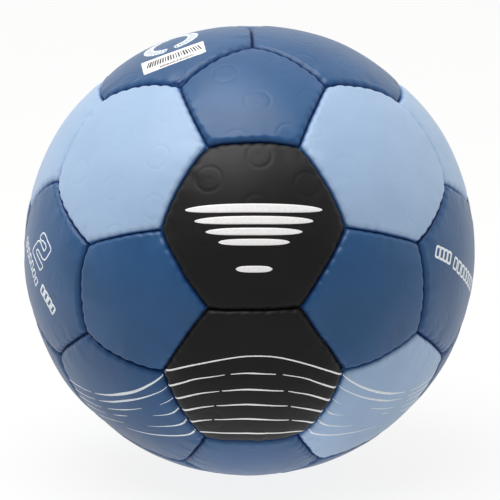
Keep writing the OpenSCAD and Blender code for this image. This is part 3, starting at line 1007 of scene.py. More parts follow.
# %% Lines on the lower front panel
FRONT_LINES = [
    ([(-38.8, 0.3), (-28.4, 5.6), (-18.8, 9.3), (-10, 12), (-1.9, 13.4), (7.7, 12.9), (17, 10),
      (27, 5.2), (38.7, -1.7)], [0.85, 0.6, 0.5, 0.6, 0.85]),
    ([(-37.0, -6.8), (-28, -1.6), (-21.9, 1.5), (-10.9, 4.8)], [1.0, 0.6, 0.3]),
    ([(-8.6, 5.3), (-1.9, 6.0), (8.5, 5.2)], [0.35, 0.65, 0.35]),
    ([(11.1, 4.8), (19.6, 2.1), (27.1, -2.3), (36.1, -7.8)], [0.3, 0.6, 1.0]),
    ([(-34.3, -12.9), (-21.9, -6.0), (-13.1, -3.1)], [1.1, 0.7, 0.3]),
    ([(-11.9, -2.8), (-1.8, -1.5), (11.5, -2.9)], [0.4, 0.8, 0.4]),
    ([(13.4, -3.3), (22.5, -6.9), (33.2, -13.8)], [0.3, 0.7, 1.1]),
    ([(-30.8, -18.6), (-21.2, -13.3), (-15.1, -11.0)], [1.2, 0.8, 0.35]),
    ([(-14.1, -10.7), (-1.7, -9.0), (13.3, -10.8)], [0.4, 0.85, 0.4]),
    ([(14.6, -11.3), (22.2, -14.6), (30.5, -19.5)], [0.35, 0.8, 1.2]),
    ([(-27.8, -25.0), (-20.3, -20.9), (-16.1, -19.3)], [1.2, 0.8, 0.35]),
    ([(-15.1, -19.0), (-1.6, -17.0), (14.2, -19.1)], [0.4, 0.9, 0.4]),
    ([(15.3, -19.6), (20.4, -21.6), (27.4, -25.7)], [0.35, 0.8, 1.2]),
    ([(-24.1, -30.3), (-17.3, -28.4), (-1.4, -26.4), (15.2, -27.9), (22.3, -30.0)],
     [0.9, 0.7, 0.95, 0.7, 0.9]),
]
print_piece("lines_front", "hexagon_front_lower", [stroke(*line) for line in FRONT_LINES])

# %% Lines on the lower panels to the left and right
LEFT_LINES = [
    ([(33.9, 23.5), (23.7, 18.1), (15.1, 14.1), (4.8, 10.8), (-1.1, 9.1), (-10.2, 7.2)],
     [0.6, 0.8, 1.1, 1.35, 0.9, 0.2]),
    ([(-12.1, 7.0), (-23.5, 5.9), (-36.4, 4.6)], [0.25, 0.6, 0.9]),
    ([(33.3, 17.4), (26.8, 14.4), (17.7, 11.1), (6.7, 7.9), (-1.2, 5.5), (-9.4, 3.6)],
     [0.35, 0.4, 0.7, 1.0, 0.9, 0.2]),
    ([(-11.9, 3.2), (-24.6, 1.1), (-36.6, -1.2)], [0.25, 0.6, 0.8]),
    ([(33.8, 10.7), (28.6, 9.2), (23.8, 7.4)], [0.6, 0.35, 0.1]),
    ([(14.2, 5.1), (4.1, 2.6), (-6.0, 0.4)], [0.15, 0.55, 0.25]),
    ([(-10.3, -0.5), (-21.4, -1.9), (-34.9, -4.6)], [0.2, 0.5, 0.7]),
    ([(34.5, 5.6), (26.0, 2.3), (17.7, 1.3)], [0.9, 0.6, 0.12]),
    ([(3.8, -0.9), (-4.6, -2.6)], [0.2, 0.5, 0.15]),
    ([(-9.6, -3.8), (-20.3, -5.2), (-31.8, -7.9)], [0.2, 0.5, 0.6]),
    ([(35.3, -1.1), (27.4, -4.3), (17.5, -5.1), (11.9, -5.2)], [1.1, 0.8, 0.5, 0.12]),
    ([(-1.2, -6.3), (-10.2, -7.6), (-19.4, -9.2)], [0.15, 0.45, 0.2]),
    ([(36.3, -7.2), (29.5, -10.8), (22.1, -11.2), (10.4, -10.7), (-2.1, -9.9)],
     [1.1, 0.9, 0.8, 0.6, 0.15]),
]
RIGHT_LINES = [
    ([(-33.3, 23.1), (-22.0, 17.3), (-12.2, 13.5), (-2.3, 10.5), (7.8, 8.3)],
     [0.6, 0.8, 1.1, 1.2, 0.2]),
    ([(10.6, 7.8), (18.2, 7.4), (27.0, 8.0), (34, 13.0)], [0.3, 0.9, 1.0]),
    ([(-32.4, 16.9), (-17.7, 11.2), (-3.1, 7.0), (7.5, 4.8)], [0.35, 0.6, 1.0, 0.2]),
    ([(11.2, 4.7), (19.2, 4.2), (29.7, 2.8), (36, 2.4)], [0.3, 0.9, 0.9]),
    ([(12.4, 1.6), (19.8, 1.0), (33, -1.6)], [0.3, 0.8, 0.8]),
    ([(11.7, -1.7), (18.6, -2.5), (31, -5.8)], [0.3, 0.7, 0.7]),
    ([(13.2, -4.7), (22.0, -7.2), (30.0, -9.4)], [0.3, 0.6, 0.6]),
    ([(-33.4, 10.2), (-25.8, 7.6)], [0.6, 0.35, 0.1]),
    ([(-10.1, 4.4), (-0.1, 1.9), (5.6, 1.0)], [0.15, 0.55, 0.2]),
    ([(-34.1, 4.7), (-27.3, 2.0), (-21.6, 1.5)], [0.9, 0.6, 0.12]),
    ([(-1.1, -0.8), (4.0, -1.8)], [0.15, 0.45, 0.15]),
    ([(-35.0, -1.1), (-27.8, -4.5), (-20.2, -5.2), (-13.6, -5.3)], [1.1, 0.8, 0.5, 0.12]),
    ([(-36.1, -7.5), (-29.9, -10.8), (-21.5, -11.2), (-12.2, -10.4), (2.1, -9.4)],
     [1.1, 0.9, 0.8, 0.6, 0.15]),
]
print_piece("lines_left", "hexagon_front_left_lower", [stroke(*line) for line in LEFT_LINES])
print_piece("lines_right", "hexagon_front_right_lower", [stroke(*line) for line in RIGHT_LINES])

# %% [markdown]
# ## The front mark
#
# The middle of the upper front panel carries the boldest print. Here it is a plain stack of
# tapered bars, the widest on top, with one short bar below.

# %% Tapered bars
BAR_COLUMNS = 6
BAR_ROUNDING, BAR_TIP = 3.2, 0.02    # power of the bar's outline, and least share of its tips


def tapered_bar(middle, length, width):
    """A bar that is widest in its middle and thins towards rounded ends."""
    share = np.linspace(-1, 1, max(9, int(length / INK_STEP)))
    half = 0.5 * width * np.sqrt(np.clip(1 - np.abs(share) ** BAR_ROUNDING, BAR_TIP, 1))
    across = np.linspace(-1, 1, BAR_COLUMNS)
    x = np.broadcast_to(middle[0] + share[:, None] * length / 2, (len(share), BAR_COLUMNS))
    y = middle[1] + half[:, None] * across[None]
    return slab(np.stack([x, y], 2))


FRONT_BARS = [((0, 6.6), 54, 3.4), ((0, 2.0), 46, 3.1), ((0, -2.3), 37, 2.8),
              ((0, -6.3), 27, 2.5), ((0, -16.6), 14, 2.6)]
print_piece("front_bars", "hexagon_front_upper", [tapered_bar(*bar) for bar in FRONT_BARS])

# %% [markdown]
# ## The size mark
#
# A 2 in outline says that this is a size 2 ball. It is drawn as one thin line that runs round the
# figure's slanted, rounded form.

# %% Outlined figure
LINE_WIDTH = 0.6                # mm
FIGURE = [
    (3.2, 16.2), (5.4, 15.6), (7.9, 14.1), (10.7, 12.5), (11.6, 11.5), (11.1, 10.3), (8.9, 7.5),
    (7.4, 6.4), (5.8, 6.4), (4.5, 7.0), (2.6, 7.9), (0.8, 8.7), (-0.2, 8.7), (-0.9, 7.7),
    (0.6, 6.6), (3.4, 5.2), (6.1, 3.7), (5.5, 2.7), (3.8, 1.5), (2.8, 2.0), (0.3, 3.6),
    (-2.8, 5.3), (-5.2, 6.6), (-4.8, 7.7), (-2.6, 10.1), (-0.6, 11.9), (0.8, 12.3), (2.6, 11.7),
    (4.6, 10.4), (6.3, 9.7), (7.6, 11.3), (5.9, 12.6), (4.0, 13.1), (2.2, 12.9), (0.8, 13.7),
    (1.4, 15.0)]
print_piece("size_figure", "hexagon_left_front", [stroke(FIGURE, [LINE_WIDTH] * 2, closed=True)])

# %% [markdown]
# ## Rows of small marks
#
# The small print of the real ball stands in rows: beside the size mark, on the panel opposite,
# and dark on the white strip at the top. Here these rows are plain bars. One tree makes them all.
# It spreads points along a path, puts a bar on each, solid or in outline, and turns it with the
# path; a seed varies the lengths.

# %% The tree for rows of bars
ROUNDED_SHARE, LINE_STEP = 0.1, 0.3    # of a bar's height at its corners, and mm along its outline
row, given = start_tree("row_of_bars", {
    "Count": "Int", "Length": "Float", "Height": "Float", "Shortest": "Float", "Line": "Float",
    "Ink Middle": "Float", "Ink Thickness": "Float", "Outline": "Bool", "Seed": "Int",
    "Ink": "Material"})
path = add_node(row, "GeometryNodeMeshToCurve", {"Mesh": given["Geometry"]})
spots = add_node(row, "GeometryNodeCurveToPoints", {
    "Curve": path, "Count": given["Count"]}, mode="COUNT")
turn = add_node(row, "FunctionNodeAlignRotationToVector", {
    "Vector": spots.outputs["Tangent"]}, axis="X", pivot_axis="Z")
bar_size = add_node(row, "ShaderNodeCombineXYZ", {
    "X": given["Length"], "Y": given["Height"], "Z": given["Ink Thickness"]})
solid = add_node(row, "GeometryNodeMeshCube", {
    "Size": bar_size, "Vertices X": 7, "Vertices Y": 3, "Vertices Z": 2})
outline = add_node(row, "GeometryNodeCurvePrimitiveQuadrilateral", {
    "Width": given["Length"], "Height": given["Height"]})
rounding = add_node(row, "ShaderNodeMath", {
    0: given["Height"], 1: ROUNDED_SHARE}, operation="MULTIPLY")
softened = add_node(row, "GeometryNodeFilletCurve", {
    "Curve": outline, "Radius": rounding, "Count": 3}, mode="POLY")
stepped = add_node(row, "GeometryNodeResampleCurve", {
    "Curve": softened, "Length": LINE_STEP * MM}, mode="LENGTH")
section = add_node(row, "GeometryNodeCurvePrimitiveQuadrilateral", {
    "Width": given["Line"], "Height": given["Ink Thickness"]})
hollow = add_node(row, "GeometryNodeCurveToMesh", {"Curve": stepped, "Profile Curve": section})
bar = add_node(row, "GeometryNodeSwitch", {
    "Switch": given["Outline"], "False": solid, "True": hollow}, input_type="GEOMETRY")
length_share = add_node(row, "FunctionNodeRandomValue", {
    2: given["Shortest"], 3: 1.0, "Seed": given["Seed"]}, data_type="FLOAT").outputs[1]
stretch = add_node(row, "ShaderNodeCombineXYZ", {"X": length_share, "Y": 1, "Z": 1})
bars = add_node(row, "GeometryNodeInstanceOnPoints", {
    "Points": spots, "Instance": bar, "Rotation": turn, "Scale": stretch})
lifted = add_node(row, "GeometryNodeSetPosition", {
    "Geometry": add_node(row, "GeometryNodeRealizeInstances", {0: bars}),
    "Offset": add_node(row, "ShaderNodeCombineXYZ", {"Z": given["Ink Middle"]})})
end_tree(row, lifted, given["Ink"])

# %% Make a row of bars
def bar_row(name, panel_name, points, count, size, line=0.0, shortest=1.0, ink=THIN_INK,
            above=0.0):
    """A row of bars along a path on a panel, solid where line is 0."""
    path = smooth_path(points)
    piece = make_wire(name, [np.pad(path, ((0, 0), (0, 1)))])
    run_tree(piece, row, {
        "Count": count, "Length": size[0] * MM, "Height": size[1] * MM, "Shortest": shortest,
        "Line": line * MM, "Ink Middle": ((INK_TOP + INK_BOTTOM) / 2 + above) * MM,
        "Ink Thickness": (INK_TOP - INK_BOTTOM) * MM, "Outline": line > 0, "Seed": 5, "Ink": ink})
    return wrap_piece(piece, panels[panel_name], ink)


# %% Rows beside the figure and on the right
bar_row("size_bars", "hexagon_left_front", [(-17.6, 7.6), (-6.5, 1.9), (-1.2, -4.2)], 7,
        (2.3, 3.9), line=0.7, shortest=0.8)
bar_row("size_bars_bold", "hexagon_left_front", [(5.2, -6.2), (8.9, -9.3), (11.8, -12.5)], 4,
        (2.3, 4.3), line=1.0)
bar_row("side_bars", "hexagon_right_front", [(-22.2, 12.9), (-18.4, 10.9), (-14.4, 8.7)], 4,
        (2.7, 4.3), line=1.0)
bar_row("side_bars_long", "hexagon_right_front", [(-9.4, 5.1), (-1.9, 0.0), (15.0, -9.9)], 8,
        (3.0, 4.3), line=0.9, shortest=0.85)

# %% [markdown]
# On the panel at the top lie a ring of short bars, like a tester's stamp without its words, and
# over it the white label with two dark rows. The label is flat paper, so in the picture its long
# edges are straight; each is given by its ends and its middle.

# %% Ring and label
SEAL_PLACE, SEAL_RADII, SEAL_OPENING = np.array([-2.3, 0.6]), (11.0, 7.4), 0.26
arc = np.linspace(SEAL_OPENING, 2 * math.pi - SEAL_OPENING, 60)[:, None]
round_arc = np.hstack([np.cos(arc), np.sin(arc)])
print_piece("seal_rings", "hexagon_top_left", [
    stroke(SEAL_PLACE + radius * round_arc, [LINE_WIDTH] * 2) for radius in SEAL_RADII])
bar_row("seal_bars", "hexagon_top_left", SEAL_PLACE + np.mean(SEAL_RADII) * round_arc, 34,
        (1.1, 2.6), line=LINE_WIDTH)

# Each long edge of the label by its ends and its middle, upper edge first
LABEL_EDGES = np.array([[(8.6, -12.1), (11.4, 1.0), (8.7, 13.7)],
                        [(20.9, -12.1), (22.8, 1.2), (20.6, 14.3)]])


def on_label(down, along):
    """Flat places on the label, from shares down from its upper edge and along it."""
    down, along = [np.asarray(share, float)[..., None] for share in (down, along)]
    start, middle, end = [upper * (1 - down) + lower * down for upper, lower in zip(*LABEL_EDGES)]
    return (start * (1 - along) * (1 - 2 * along) + 4 * middle * along * (1 - along)
            + end * along * (2 * along - 1))


strip_grid = on_label(*np.meshgrid(np.linspace(0, 1, 16), np.linspace(0, 1, 34), indexing="ij"))
print_piece("label_strip", "hexagon_top_left", [slab(strip_grid)], WHITE_INK)
ABOVE_LABEL = 0.05              # mm, of the dark print over the white one
label_row = [on_label(0.43, share) for share in np.linspace(0.1, 0.92, 12)]
bar_row("label_bars", "hexagon_top_left", label_row, 21, (0.8, 4.6), ink=BLACK_INK, shortest=0.35,
        above=ABOVE_LABEL)
small_row = [on_label(0.86, share) for share in np.linspace(0.28, 0.8, 8)]
bar_row("label_bars_small", "hexagon_top_left", small_row, 24, (0.45, 1.2), ink=BLACK_INK,
        shortest=0.5, above=ABOVE_LABEL)

# %% [markdown]
# ## Foam and lining
#
# Behind the skin lies a pad of closed-cell foam, skived thin at the seam, and behind that a
# woven lining that is folded in with the skin and sewn through. Neither shows in the finished
# ball. Each is the same ring construction as the skin: a face over the dome and down the side,
# and a second face inside it, coarser because it is hidden. All pads of one kind of panel are
# one piece, as in the CAD.

# %% Inner layers
FOAM_STOP_R = 83.535            # mm, where the foam ends above the stitches
INNER_SEGMENTS = 10
LAYER_GAP = 0.03                # mm
EDGE_PARTS = (0.55, 0.25, 0.08, 0)    # of the roll, where the rings of a layer's edge lie


def layer_face(panel, drop, inset, roll, foot):
    """Rings of one face of a layer, from its middle out and down to the foot radius."""
    edge = HALF_GAP + inset
    ground = [ring(panel, edge + roll, INNER_SEGMENTS, share) for share in [*DOME_SHARES[::-1], 1]]
    sinks = [0] * len(ground) + [roll_drop(1 - part, roll) for part in EDGE_PARTS]
    ground += [ring(panel, edge + roll * part, INNER_SEGMENTS) for part in EDGE_PARTS]
    rings = [sewn(panel, directions) * (crown(panel, directions, drop) - sink)[:, None]
             for directions, sink in zip(ground, sinks)]
    return [*rings, sewn(panel, ground[-1]) * foot]


def build_layer(name, members, outer, inner, foot, material):
    """One layer behind several panels as closed shells, standing for its CAD node."""
    points, faces, flats, start = [], [], [], 0
    for panel in members:
        rings = layer_face(panel, *outer, foot) + layer_face(panel, *inner, foot)[::-1]
        count = len(rings[0])
        last = start + (len(rings) - 1) * count
        for k in range(start, last, count):
            faces += band(k, k + count, count).tolist()
        if panel["hole"]:
            faces += band(last, start, count).tolist()
        else:
            rings += [panel["middle"][None] * (BALL_R - drop) for drop in (outer[0], inner[0])]
            faces += fan(last + count, start, count) + fan(last + count + 1, last, count, False)
        points.append(np.concatenate(rings))
        flats.append(flat_place(panel, unit(points[-1])))
        start += len(points[-1])
    piece = make_piece(name, np.concatenate(points), faces, material, np.concatenate(flats))
    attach(piece, "root")
    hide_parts(name.replace("cushion", "foam").replace("backing", "lining"))
    return piece


# %% [markdown]
# The foam is white closed-cell sheet, whose tiny bubbles give a fine pitted surface. The lining
# is a plain weave of cotton and polyester with about eight threads to the centimetre each way,
# so it needs a pattern that follows the cloth: it reads the panel's own UV map, which is in mm.

# %% Foam and lining materials
THREAD_PITCH = 1.2              # mm
foam_material = grained(
    "closed_cell_foam", "Voronoi", 0.8, {}, ("#d9d4c8", "#ebe7dd"), (0.5, 0.2),
    {"Roughness": 0.85, "IOR": 1.45})

lining_material, tree = start_material("woven_lining")
cloth = add_node(tree, "ShaderNodeUVMap", uv_map="panel_mm")
warp, weft = [add_node(tree, "ShaderNodeTexWave", {
    "Vector": cloth, "Scale": math.pi / (10 * THREAD_PITCH), "Distortion": 0.6, "Detail": 1},
    bands_direction=direction).outputs["Fac"] for direction in ("X", "Y")]
weave = add_node(tree, "ShaderNodeMath", {0: warp, 1: weft}, operation="MAXIMUM")
finish_with(tree, weave, ("#9d988b", "#d3cec1"), (0.7, 0.25),
            {"Roughness": 0.9, "Sheen Weight": 0.2})

# %% Build the inner layers
# Each face of a layer: mm under the crown, mm from the seam, and the width of its rolled edge
FOAM_OUTER, FOAM_INNER = (SKIN + LAYER_GAP, SKIN + LAYER_GAP, 1.4), (2.6, 1.5, 0.4)
LINING_OUTER = FOAM_INNER[0] + LAYER_GAP, FOAM_INNER[1] + LAYER_GAP, FOAM_INNER[2]
LINING_INNER = 3.4, 2.3, 0.3
for sides, kind in ((6, "hexagons"), (5, "pentagons")):
    members = [panel for panel in panels.values() if len(panel["corners"]) == sides]
    cushion = build_layer("cushion_" + kind, members, FOAM_OUTER, FOAM_INNER, FOAM_STOP_R,
                          foam_material)
    backing = build_layer("backing_" + kind, members, LINING_OUTER, LINING_INNER, RAW_EDGE_R,
                          lining_material)
    print(kind, len(members), "pads with", len(cushion.data.polygons), "faces, and linings with",
          len(backing.data.polygons))

# %% [markdown]
# ## The thread
#
# Two needles on one waxed thread sew each seam: through every hole both ways, with a run along
# each side in between. That makes a ladder of small closed loops. A tree spreads one loop per
# stitch along each seam, turns it with the seam and away from the ball's centre, and gives it a
# round section.

# %% Thread material
# Waxed thread is dark with a dull sheen, and its twist is a fine grain
thread_material = grained(
    "waxed_polyester_thread", "Noise", 0.4, {"Detail": 2}, ("#191c22", "#2a2f39"), (0.6, 0.1),
    {"Roughness": 0.5, "Sheen Weight": 0.1})

# %% The stitching tree
CORNER_BEND = 0.4               # mm, how the thread rounds the corners of its loop
sewing, given = start_tree("saddle_stitches", {
    "Stitches": "Int", "Pitch": "Float", "Reach": "Float", "Thread": "Float",
    "Thread Material": "Material"})
path = add_node(sewing, "GeometryNodeMeshToCurve", {"Mesh": given["Geometry"]})
spots = add_node(sewing, "GeometryNodeCurveToPoints", {
    "Curve": path, "Count": given["Stitches"]}, mode="COUNT")
along = add_node(sewing, "FunctionNodeAlignRotationToVector", {
    "Vector": spots.outputs["Tangent"]}, axis="X")
facing = add_node(sewing, "FunctionNodeAlignRotationToVector", {
    "Rotation": along, "Vector": add_node(sewing, "GeometryNodeInputPosition")},
    axis="Z", pivot_axis="X")
loop = add_node(sewing, "GeometryNodeCurvePrimitiveQuadrilateral", {
    "Width": given["Pitch"], "Height": given["Reach"]})
bend = add_node(sewing, "GeometryNodeFilletCurve", {
    "Curve": loop, "Radius": CORNER_BEND * MM, "Count": 2}, mode="POLY")
half_thread = add_node(sewing, "ShaderNodeMath", {
    0: given["Thread"], 1: 0.5}, operation="MULTIPLY")
round_section = add_node(sewing, "GeometryNodeCurvePrimitiveCircle", {
    "Resolution": 6, "Radius": half_thread}, mode="RADIUS")
stitch = add_node(sewing, "GeometryNodeCurveToMesh", {
    "Curve": bend, "Profile Curve": round_section})
stitches = add_node(sewing, "GeometryNodeInstanceOnPoints", {
    "Points": spots, "Instance": stitch, "Rotation": facing})
end_tree(sewing, add_node(sewing, "GeometryNodeRealizeInstances", {0: stitches}),
         given["Thread Material"])

# %% Sew the seams
THREAD_WIDTH, EDGE_STACK = 0.6, 2.3    # mm, the stack is skin, foam and lining at the seam
SEAM_POINTS = 13


def sew(name, node, chosen):
    """Stitches along some seams as one piece."""
    paths = []
    for seam in chosen:
        half = seam["half"] * STITCH_R / BALL_R - STITCH_END
        pitch = 2 * half / (STITCHES - 1)
        turns = np.linspace(pitch / 2 - half, half - pitch / 2, SEAM_POINTS) / STITCH_R
        path = [seam["middle"] * math.cos(t) + seam["along"] * math.sin(t) for t in turns]
        paths.append(moved(np.array(path), [seam], seam["ends"]) * STITCH_R)
    piece = make_wire(name, paths)
    run_tree(piece, sewing, {
        "Stitches": STITCHES - 1, "Pitch": pitch * MM,
        "Reach": 2 * (HALF_GAP + EDGE_STACK + THREAD_WIDTH / 2) * MM,
        "Thread": THREAD_WIDTH * MM, "Thread Material": thread_material})
    make_plain(piece)
    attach(piece, "root")
    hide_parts(node)
    print(name, len(chosen), "seams,", len(piece.data.polygons), "faces")


sew("thread_between_hexagons", "stitching_between_hexagons",
    [seam for seam in seams.values() if "round_pentagon" not in seam])
sew("thread_round_pentagons", "stitching_round_pentagons",
    [seam for seam in seams.values() if "round_pentagon" in seam])

# %% [markdown]
# ## The bladder
#
# The latex bladder is blown up against the linings. It rests on the raw edges of the seams and
# swells a little into every panel. It is turned from rings about the valve's axis, where it has
# its one hole, and closed at the opposite pole.

# %% Bladder
BLADDER_R, BLADDER_T, BLADDER_SWELL = 81.135, 0.9, 2.1
BULGE_START, BULGE_REACH = 3.2, 9    # mm from the seams, where it starts and how far it rises
VALVE_FLAT, VALVE_REACH = 15, 12     # mm from the valve, where it lies flat and then rises again
AROUND, DOWN = 160, 90


def bladder_radius(directions):
    """Outer radius of the blown-up bladder."""
    inside = np.max([seam_distances(p, directions).min(1) for p in panels.values()], axis=0)
    rise = np.clip((inside - BULGE_START) / BULGE_REACH, 0, 1)
    rise = rise * rise * (3 - 2 * rise)
    from_valve = BALL_R * np.arccos(np.clip(directions @ valve_panel["middle"], -1, 1))
    free = np.clip((from_valve - VALVE_FLAT) / VALVE_REACH, 0, 1)
    return BLADDER_R + BLADDER_SWELL * rise * free


axis = valve_panel["middle"]
tilts = np.linspace(math.asin(NECK_HOLE_R / BLADDER_R), math.pi, DOWN, endpoint=False)
circle = np.linspace(0, 2 * math.pi, AROUND, endpoint=False)
sideways = (np.outer(np.cos(circle), valve_panel["right"])
            + np.outer(np.sin(circle), valve_panel["up"]))
rings = [axis * math.cos(t) + sideways * math.sin(t) for t in tilts] + [-axis[None]]
radii = [bladder_radius(directions)[:, None] for directions in rings]
outer = [directions * radius for directions, radius in zip(rings, radii)]
inner = [directions * (radius - BLADDER_T) for directions, radius in zip(rings, radii)]
points = np.concatenate([*outer[:-1], *inner[-2::-1], outer[-1], inner[-1]])
faces = []
for k in range(DOWN - 1):
    faces += band(k * AROUND, (k + 1) * AROUND, AROUND).tolist()
    faces += band((DOWN + k) * AROUND, (DOWN + k + 1) * AROUND, AROUND).tolist()
pole = 2 * DOWN * AROUND
faces += fan(pole, (DOWN - 1) * AROUND, AROUND, False)
faces += fan(pole + 1, DOWN * AROUND, AROUND)
faces += band((2 * DOWN - 1) * AROUND, 0, AROUND).tolist()

# Dipped latex is the colour of honey, in soft streaks, and dull with talc
latex = grained(
    "dipped_latex", "Noise", 9, {"Detail": 5, "Roughness": 0.6}, ("#c8b084", "#dccba6"),
    (0.2, 0.2), {"Roughness": 0.6, "IOR": 1.52})
blown_up = make_piece("blown_up_bladder", points, faces, latex)
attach(blown_up, "root")
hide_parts("bladder")
print("bladder:", len(faces), "faces")

# %% [markdown]
# ## The valve
#
# A black rubber boot is bonded into the bladder and its neck fills the hole in one back panel.
# The core pressed into it has a dimple that leads the needle in. Both are exact turned parts in
# the CAD, so they stay and only get their rubber: moulded, matt, with a fine bloom.

# %% Valve rubber
for node, name, colours, roughness in (
        ("valve_boot", "boot_rubber", ("#1b1b1d", "#2b2b2e"), 0.62),
        ("valve_core", "core_rubber", ("#2a2a2c", "#3a3a3d"), 0.55)):
    turned_part = frame["nodes"][node]
    turned_part.data.materials.clear()
    turned_part.data.materials.append(grained(
        name, "Noise", 2.5, {"Detail": 5, "Roughness": 0.65}, colours, (0.25, 0.06),
        {"Roughness": roughness, "IOR": 1.52}, ends=(0.4, 0.75)))

# %% [markdown]
# ## The room, the light and the floor
#
# The ball lies on white paper in a bright studio. The room is brighter behind it than on the
# camera's side, and one large soft lamp stands above, a little in front and to the left. The
# picture's background is plain white, but that is a matter of what the camera sees and not of
# more light: for camera rays the world is white at strength 1, and in the paper plain white
# is mixed with what falls on it, so it keeps only a breath of the ball's shadow.

# %% Room
WORLD_FRONT, WORLD_BACK = 0.19, 0.80    # the camera's side of the room, and the far side
WALL_MIRRORED = 0.1                     # how much brighter the far side is in glossy skin
TOWARDS_BACK = (0.1, 1, 0)              # a little to the right of straight back
BACK_STARTS, BACK_IS_FULL = -0.8, 0.5   # share of that way, where the back's light starts, ends
world = bpy.data.worlds.new("studio")
bpy.context.scene.world = world
world.use_nodes = True
tree = world.node_tree
tree.nodes.clear()
rays = add_node(tree, "ShaderNodeLightPath")
seen_or_through = add_node(tree, "ShaderNodeMath", {
    0: rays.outputs["Is Camera Ray"], 1: rays.outputs["Is Transmission Ray"]}, operation="MAXIMUM")
depth = add_node(tree, "ShaderNodeVectorMath", {
    0: add_node(tree, "ShaderNodeTexCoord").outputs["Generated"], 1: TOWARDS_BACK},
    operation="DOT_PRODUCT").outputs["Value"]
far_side = add_node(tree, "ShaderNodeMath", {
    0: rays.outputs["Is Glossy Ray"], 1: WALL_MIRRORED, 2: WORLD_BACK}, operation="MULTIPLY_ADD")
room_light = add_node(tree, "ShaderNodeMapRange", {
    "Value": depth, "From Min": BACK_STARTS, "From Max": BACK_IS_FULL,
    "To Min": WORLD_FRONT, "To Max": far_side}, interpolation_type="SMOOTHSTEP")
soft_light = add_node(tree, "ShaderNodeBackground", {
    "Color": linear("#fffdf5"), "Strength": room_light})
white_wall = add_node(tree, "ShaderNodeBackground", {"Color": (1, 1, 1, 1), "Strength": 1})
add_node(tree, "ShaderNodeOutputWorld", {"Surface": add_node(tree, "ShaderNodeMixShader", {
    0: seen_or_through, 1: soft_light, 2: white_wall})})
print("room light:", WORLD_FRONT, "on the camera's side,", WORLD_BACK, "behind the ball")

# %% Lamp
LAMP_PLACE, LAMP_SIZE, LAMP_POWER = Vector((-0.22, -0.2, 1.1)), (1.1, 1.0), 12.6    # m, m, W
lamp = add_object("softbox", bpy.data.lights.new("softbox", "AREA"))
lamp.data.shape = "RECTANGLE"
lamp.data.size, lamp.data.size_y = LAMP_SIZE
lamp.data.energy = LAMP_POWER
aim_at_ball(lamp, LAMP_PLACE)
print("lamp:", LAMP_POWER, "W at", [round(v, 2) for v in lamp.location], "m")

# %% [markdown]
# The paper is matt and near white. It also glows, though it is no lamp: this painted light from
# below lights the ball's underside in stripes that run away from the camera: a bright one under
# the ball's middle, a dim one on either side of it, and bright again further out. For the skin's
# mirror rays the paper glows too, as a painted reflection: dim in front of the ball and bright
# from there to the back, and the bright part bends back at the sides. The camera itself sees an
# even white with a breath of the ball's shadow.

# %% Floor
FLOOR_GLOW = 0.6                # share of the shine in the paper, for light on the ball
FLOOR_WHITE = 0.26              # how much more of it the camera sees and the skin mirrors
GLOW_MIDDLE, GLOW_BESIDE, GLOW_FAR = 1.5, 0.35, 1.25    # the middle stripe, beside it, and far
BESIDE_RANGE, FAR_RANGE = (0.015, 0.055), (0.09, 0.2)   # m from the middle, where it changes
MIRROR_FRONT, MIRROR_BACK = 0.22, 0.85                  # the mirrored paper, in front and behind
MIRROR_RANGE = (-0.12, -0.055)                          # m, just before the ball, where it changes
BEND_RANGE, BEND = (0.25, 1.25), 0.6                    # m aside, and how far back it bends there
floor_material, tree = start_material("studio_paper")
rays = add_node(tree, "ShaderNodeLightPath")
spot = add_node(tree, "ShaderNodeSeparateXYZ", {
    0: add_node(tree, "ShaderNodeTexCoord").outputs["Object"]})
sideways = add_node(tree, "ShaderNodeMath", {0: spot.outputs["X"]}, operation="ABSOLUTE")
bent = add_node(tree, "ShaderNodeMapRange", {
    "Value": sideways, "From Min": BEND_RANGE[0], "From Max": BEND_RANGE[1], "To Max": BEND})
back = add_node(tree, "ShaderNodeMath", {0: spot.outputs["Y"], 1: bent}, operation="SUBTRACT")
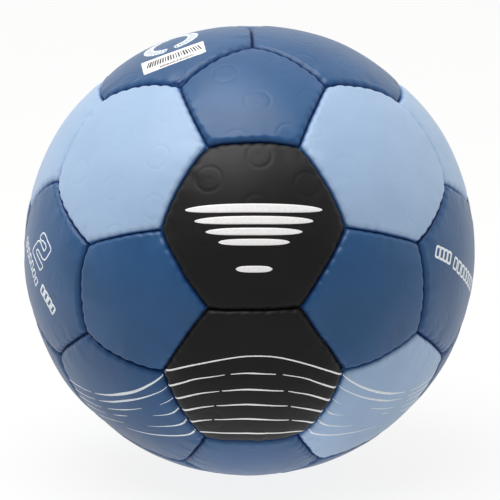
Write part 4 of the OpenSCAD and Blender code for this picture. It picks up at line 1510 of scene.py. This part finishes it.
# Painted reflection: how brightly the paper glows in the glossy skin, dim in front, bright behind
mirrored = add_node(tree, "ShaderNodeMapRange", {
    "Value": back, "From Min": MIRROR_RANGE[0], "From Max": MIRROR_RANGE[1],
    "To Min": MIRROR_FRONT, "To Max": MIRROR_BACK})
# Painted light: the paper's glow that lights the ball's underside, in stripes
beside = add_node(tree, "ShaderNodeMapRange", {
    "Value": sideways, "From Min": BESIDE_RANGE[0], "From Max": BESIDE_RANGE[1],
    "To Min": GLOW_MIDDLE, "To Max": GLOW_BESIDE}, interpolation_type="SMOOTHSTEP")
further = add_node(tree, "ShaderNodeMapRange", {
    "Value": sideways, "From Min": FAR_RANGE[0], "From Max": FAR_RANGE[1],
    "To Max": GLOW_FAR - GLOW_BESIDE}, interpolation_type="SMOOTHSTEP")
shining = add_node(tree, "ShaderNodeMath", {0: beside, 1: further}, operation="ADD")
unseen = add_node(tree, "ShaderNodeMix", {
    0: rays.outputs["Is Glossy Ray"], 2: shining, 3: mirrored})
brightness = add_node(tree, "ShaderNodeMix", {0: rays.outputs["Is Camera Ray"], 2: unseen, 3: 1.0})
seen_or_mirrored = add_node(tree, "ShaderNodeMath", {
    0: rays.outputs["Is Camera Ray"], 1: rays.outputs["Is Glossy Ray"]}, operation="MAXIMUM")
direct = add_node(tree, "ShaderNodeMath", {
    0: seen_or_mirrored, 1: FLOOR_WHITE, 2: FLOOR_GLOW}, operation="MULTIPLY_ADD", use_clamp=True)
paper = add_node(tree, "ShaderNodeBsdfDiffuse", {"Color": linear("#f6f6f6")})
shine = add_node(tree, "ShaderNodeEmission", {"Color": (1, 1, 1, 1), "Strength": brightness})
add_node(tree, "ShaderNodeOutputMaterial", {"Surface": add_node(tree, "ShaderNodeMixShader", {
    0: direct, 1: paper, 2: shine})})

# %% Lay the floor under the ball
HALF_FLOOR = 4                  # m
lowest = min(v.co.z for side in ("left", "right")
             for v in panels["hexagon_bottom_" + side]["piece"].data.vertices)
floor = make_piece("floor", [
    (x * HALF_FLOOR / MM, y * HALF_FLOOR / MM, lowest / MM)
    for x, y in ((-1, -1), (1, -1), (1, 1), (-1, 1))], [(0, 1, 2, 3)], floor_material)
print("floor at", round(lowest / MM, 2), "mm")
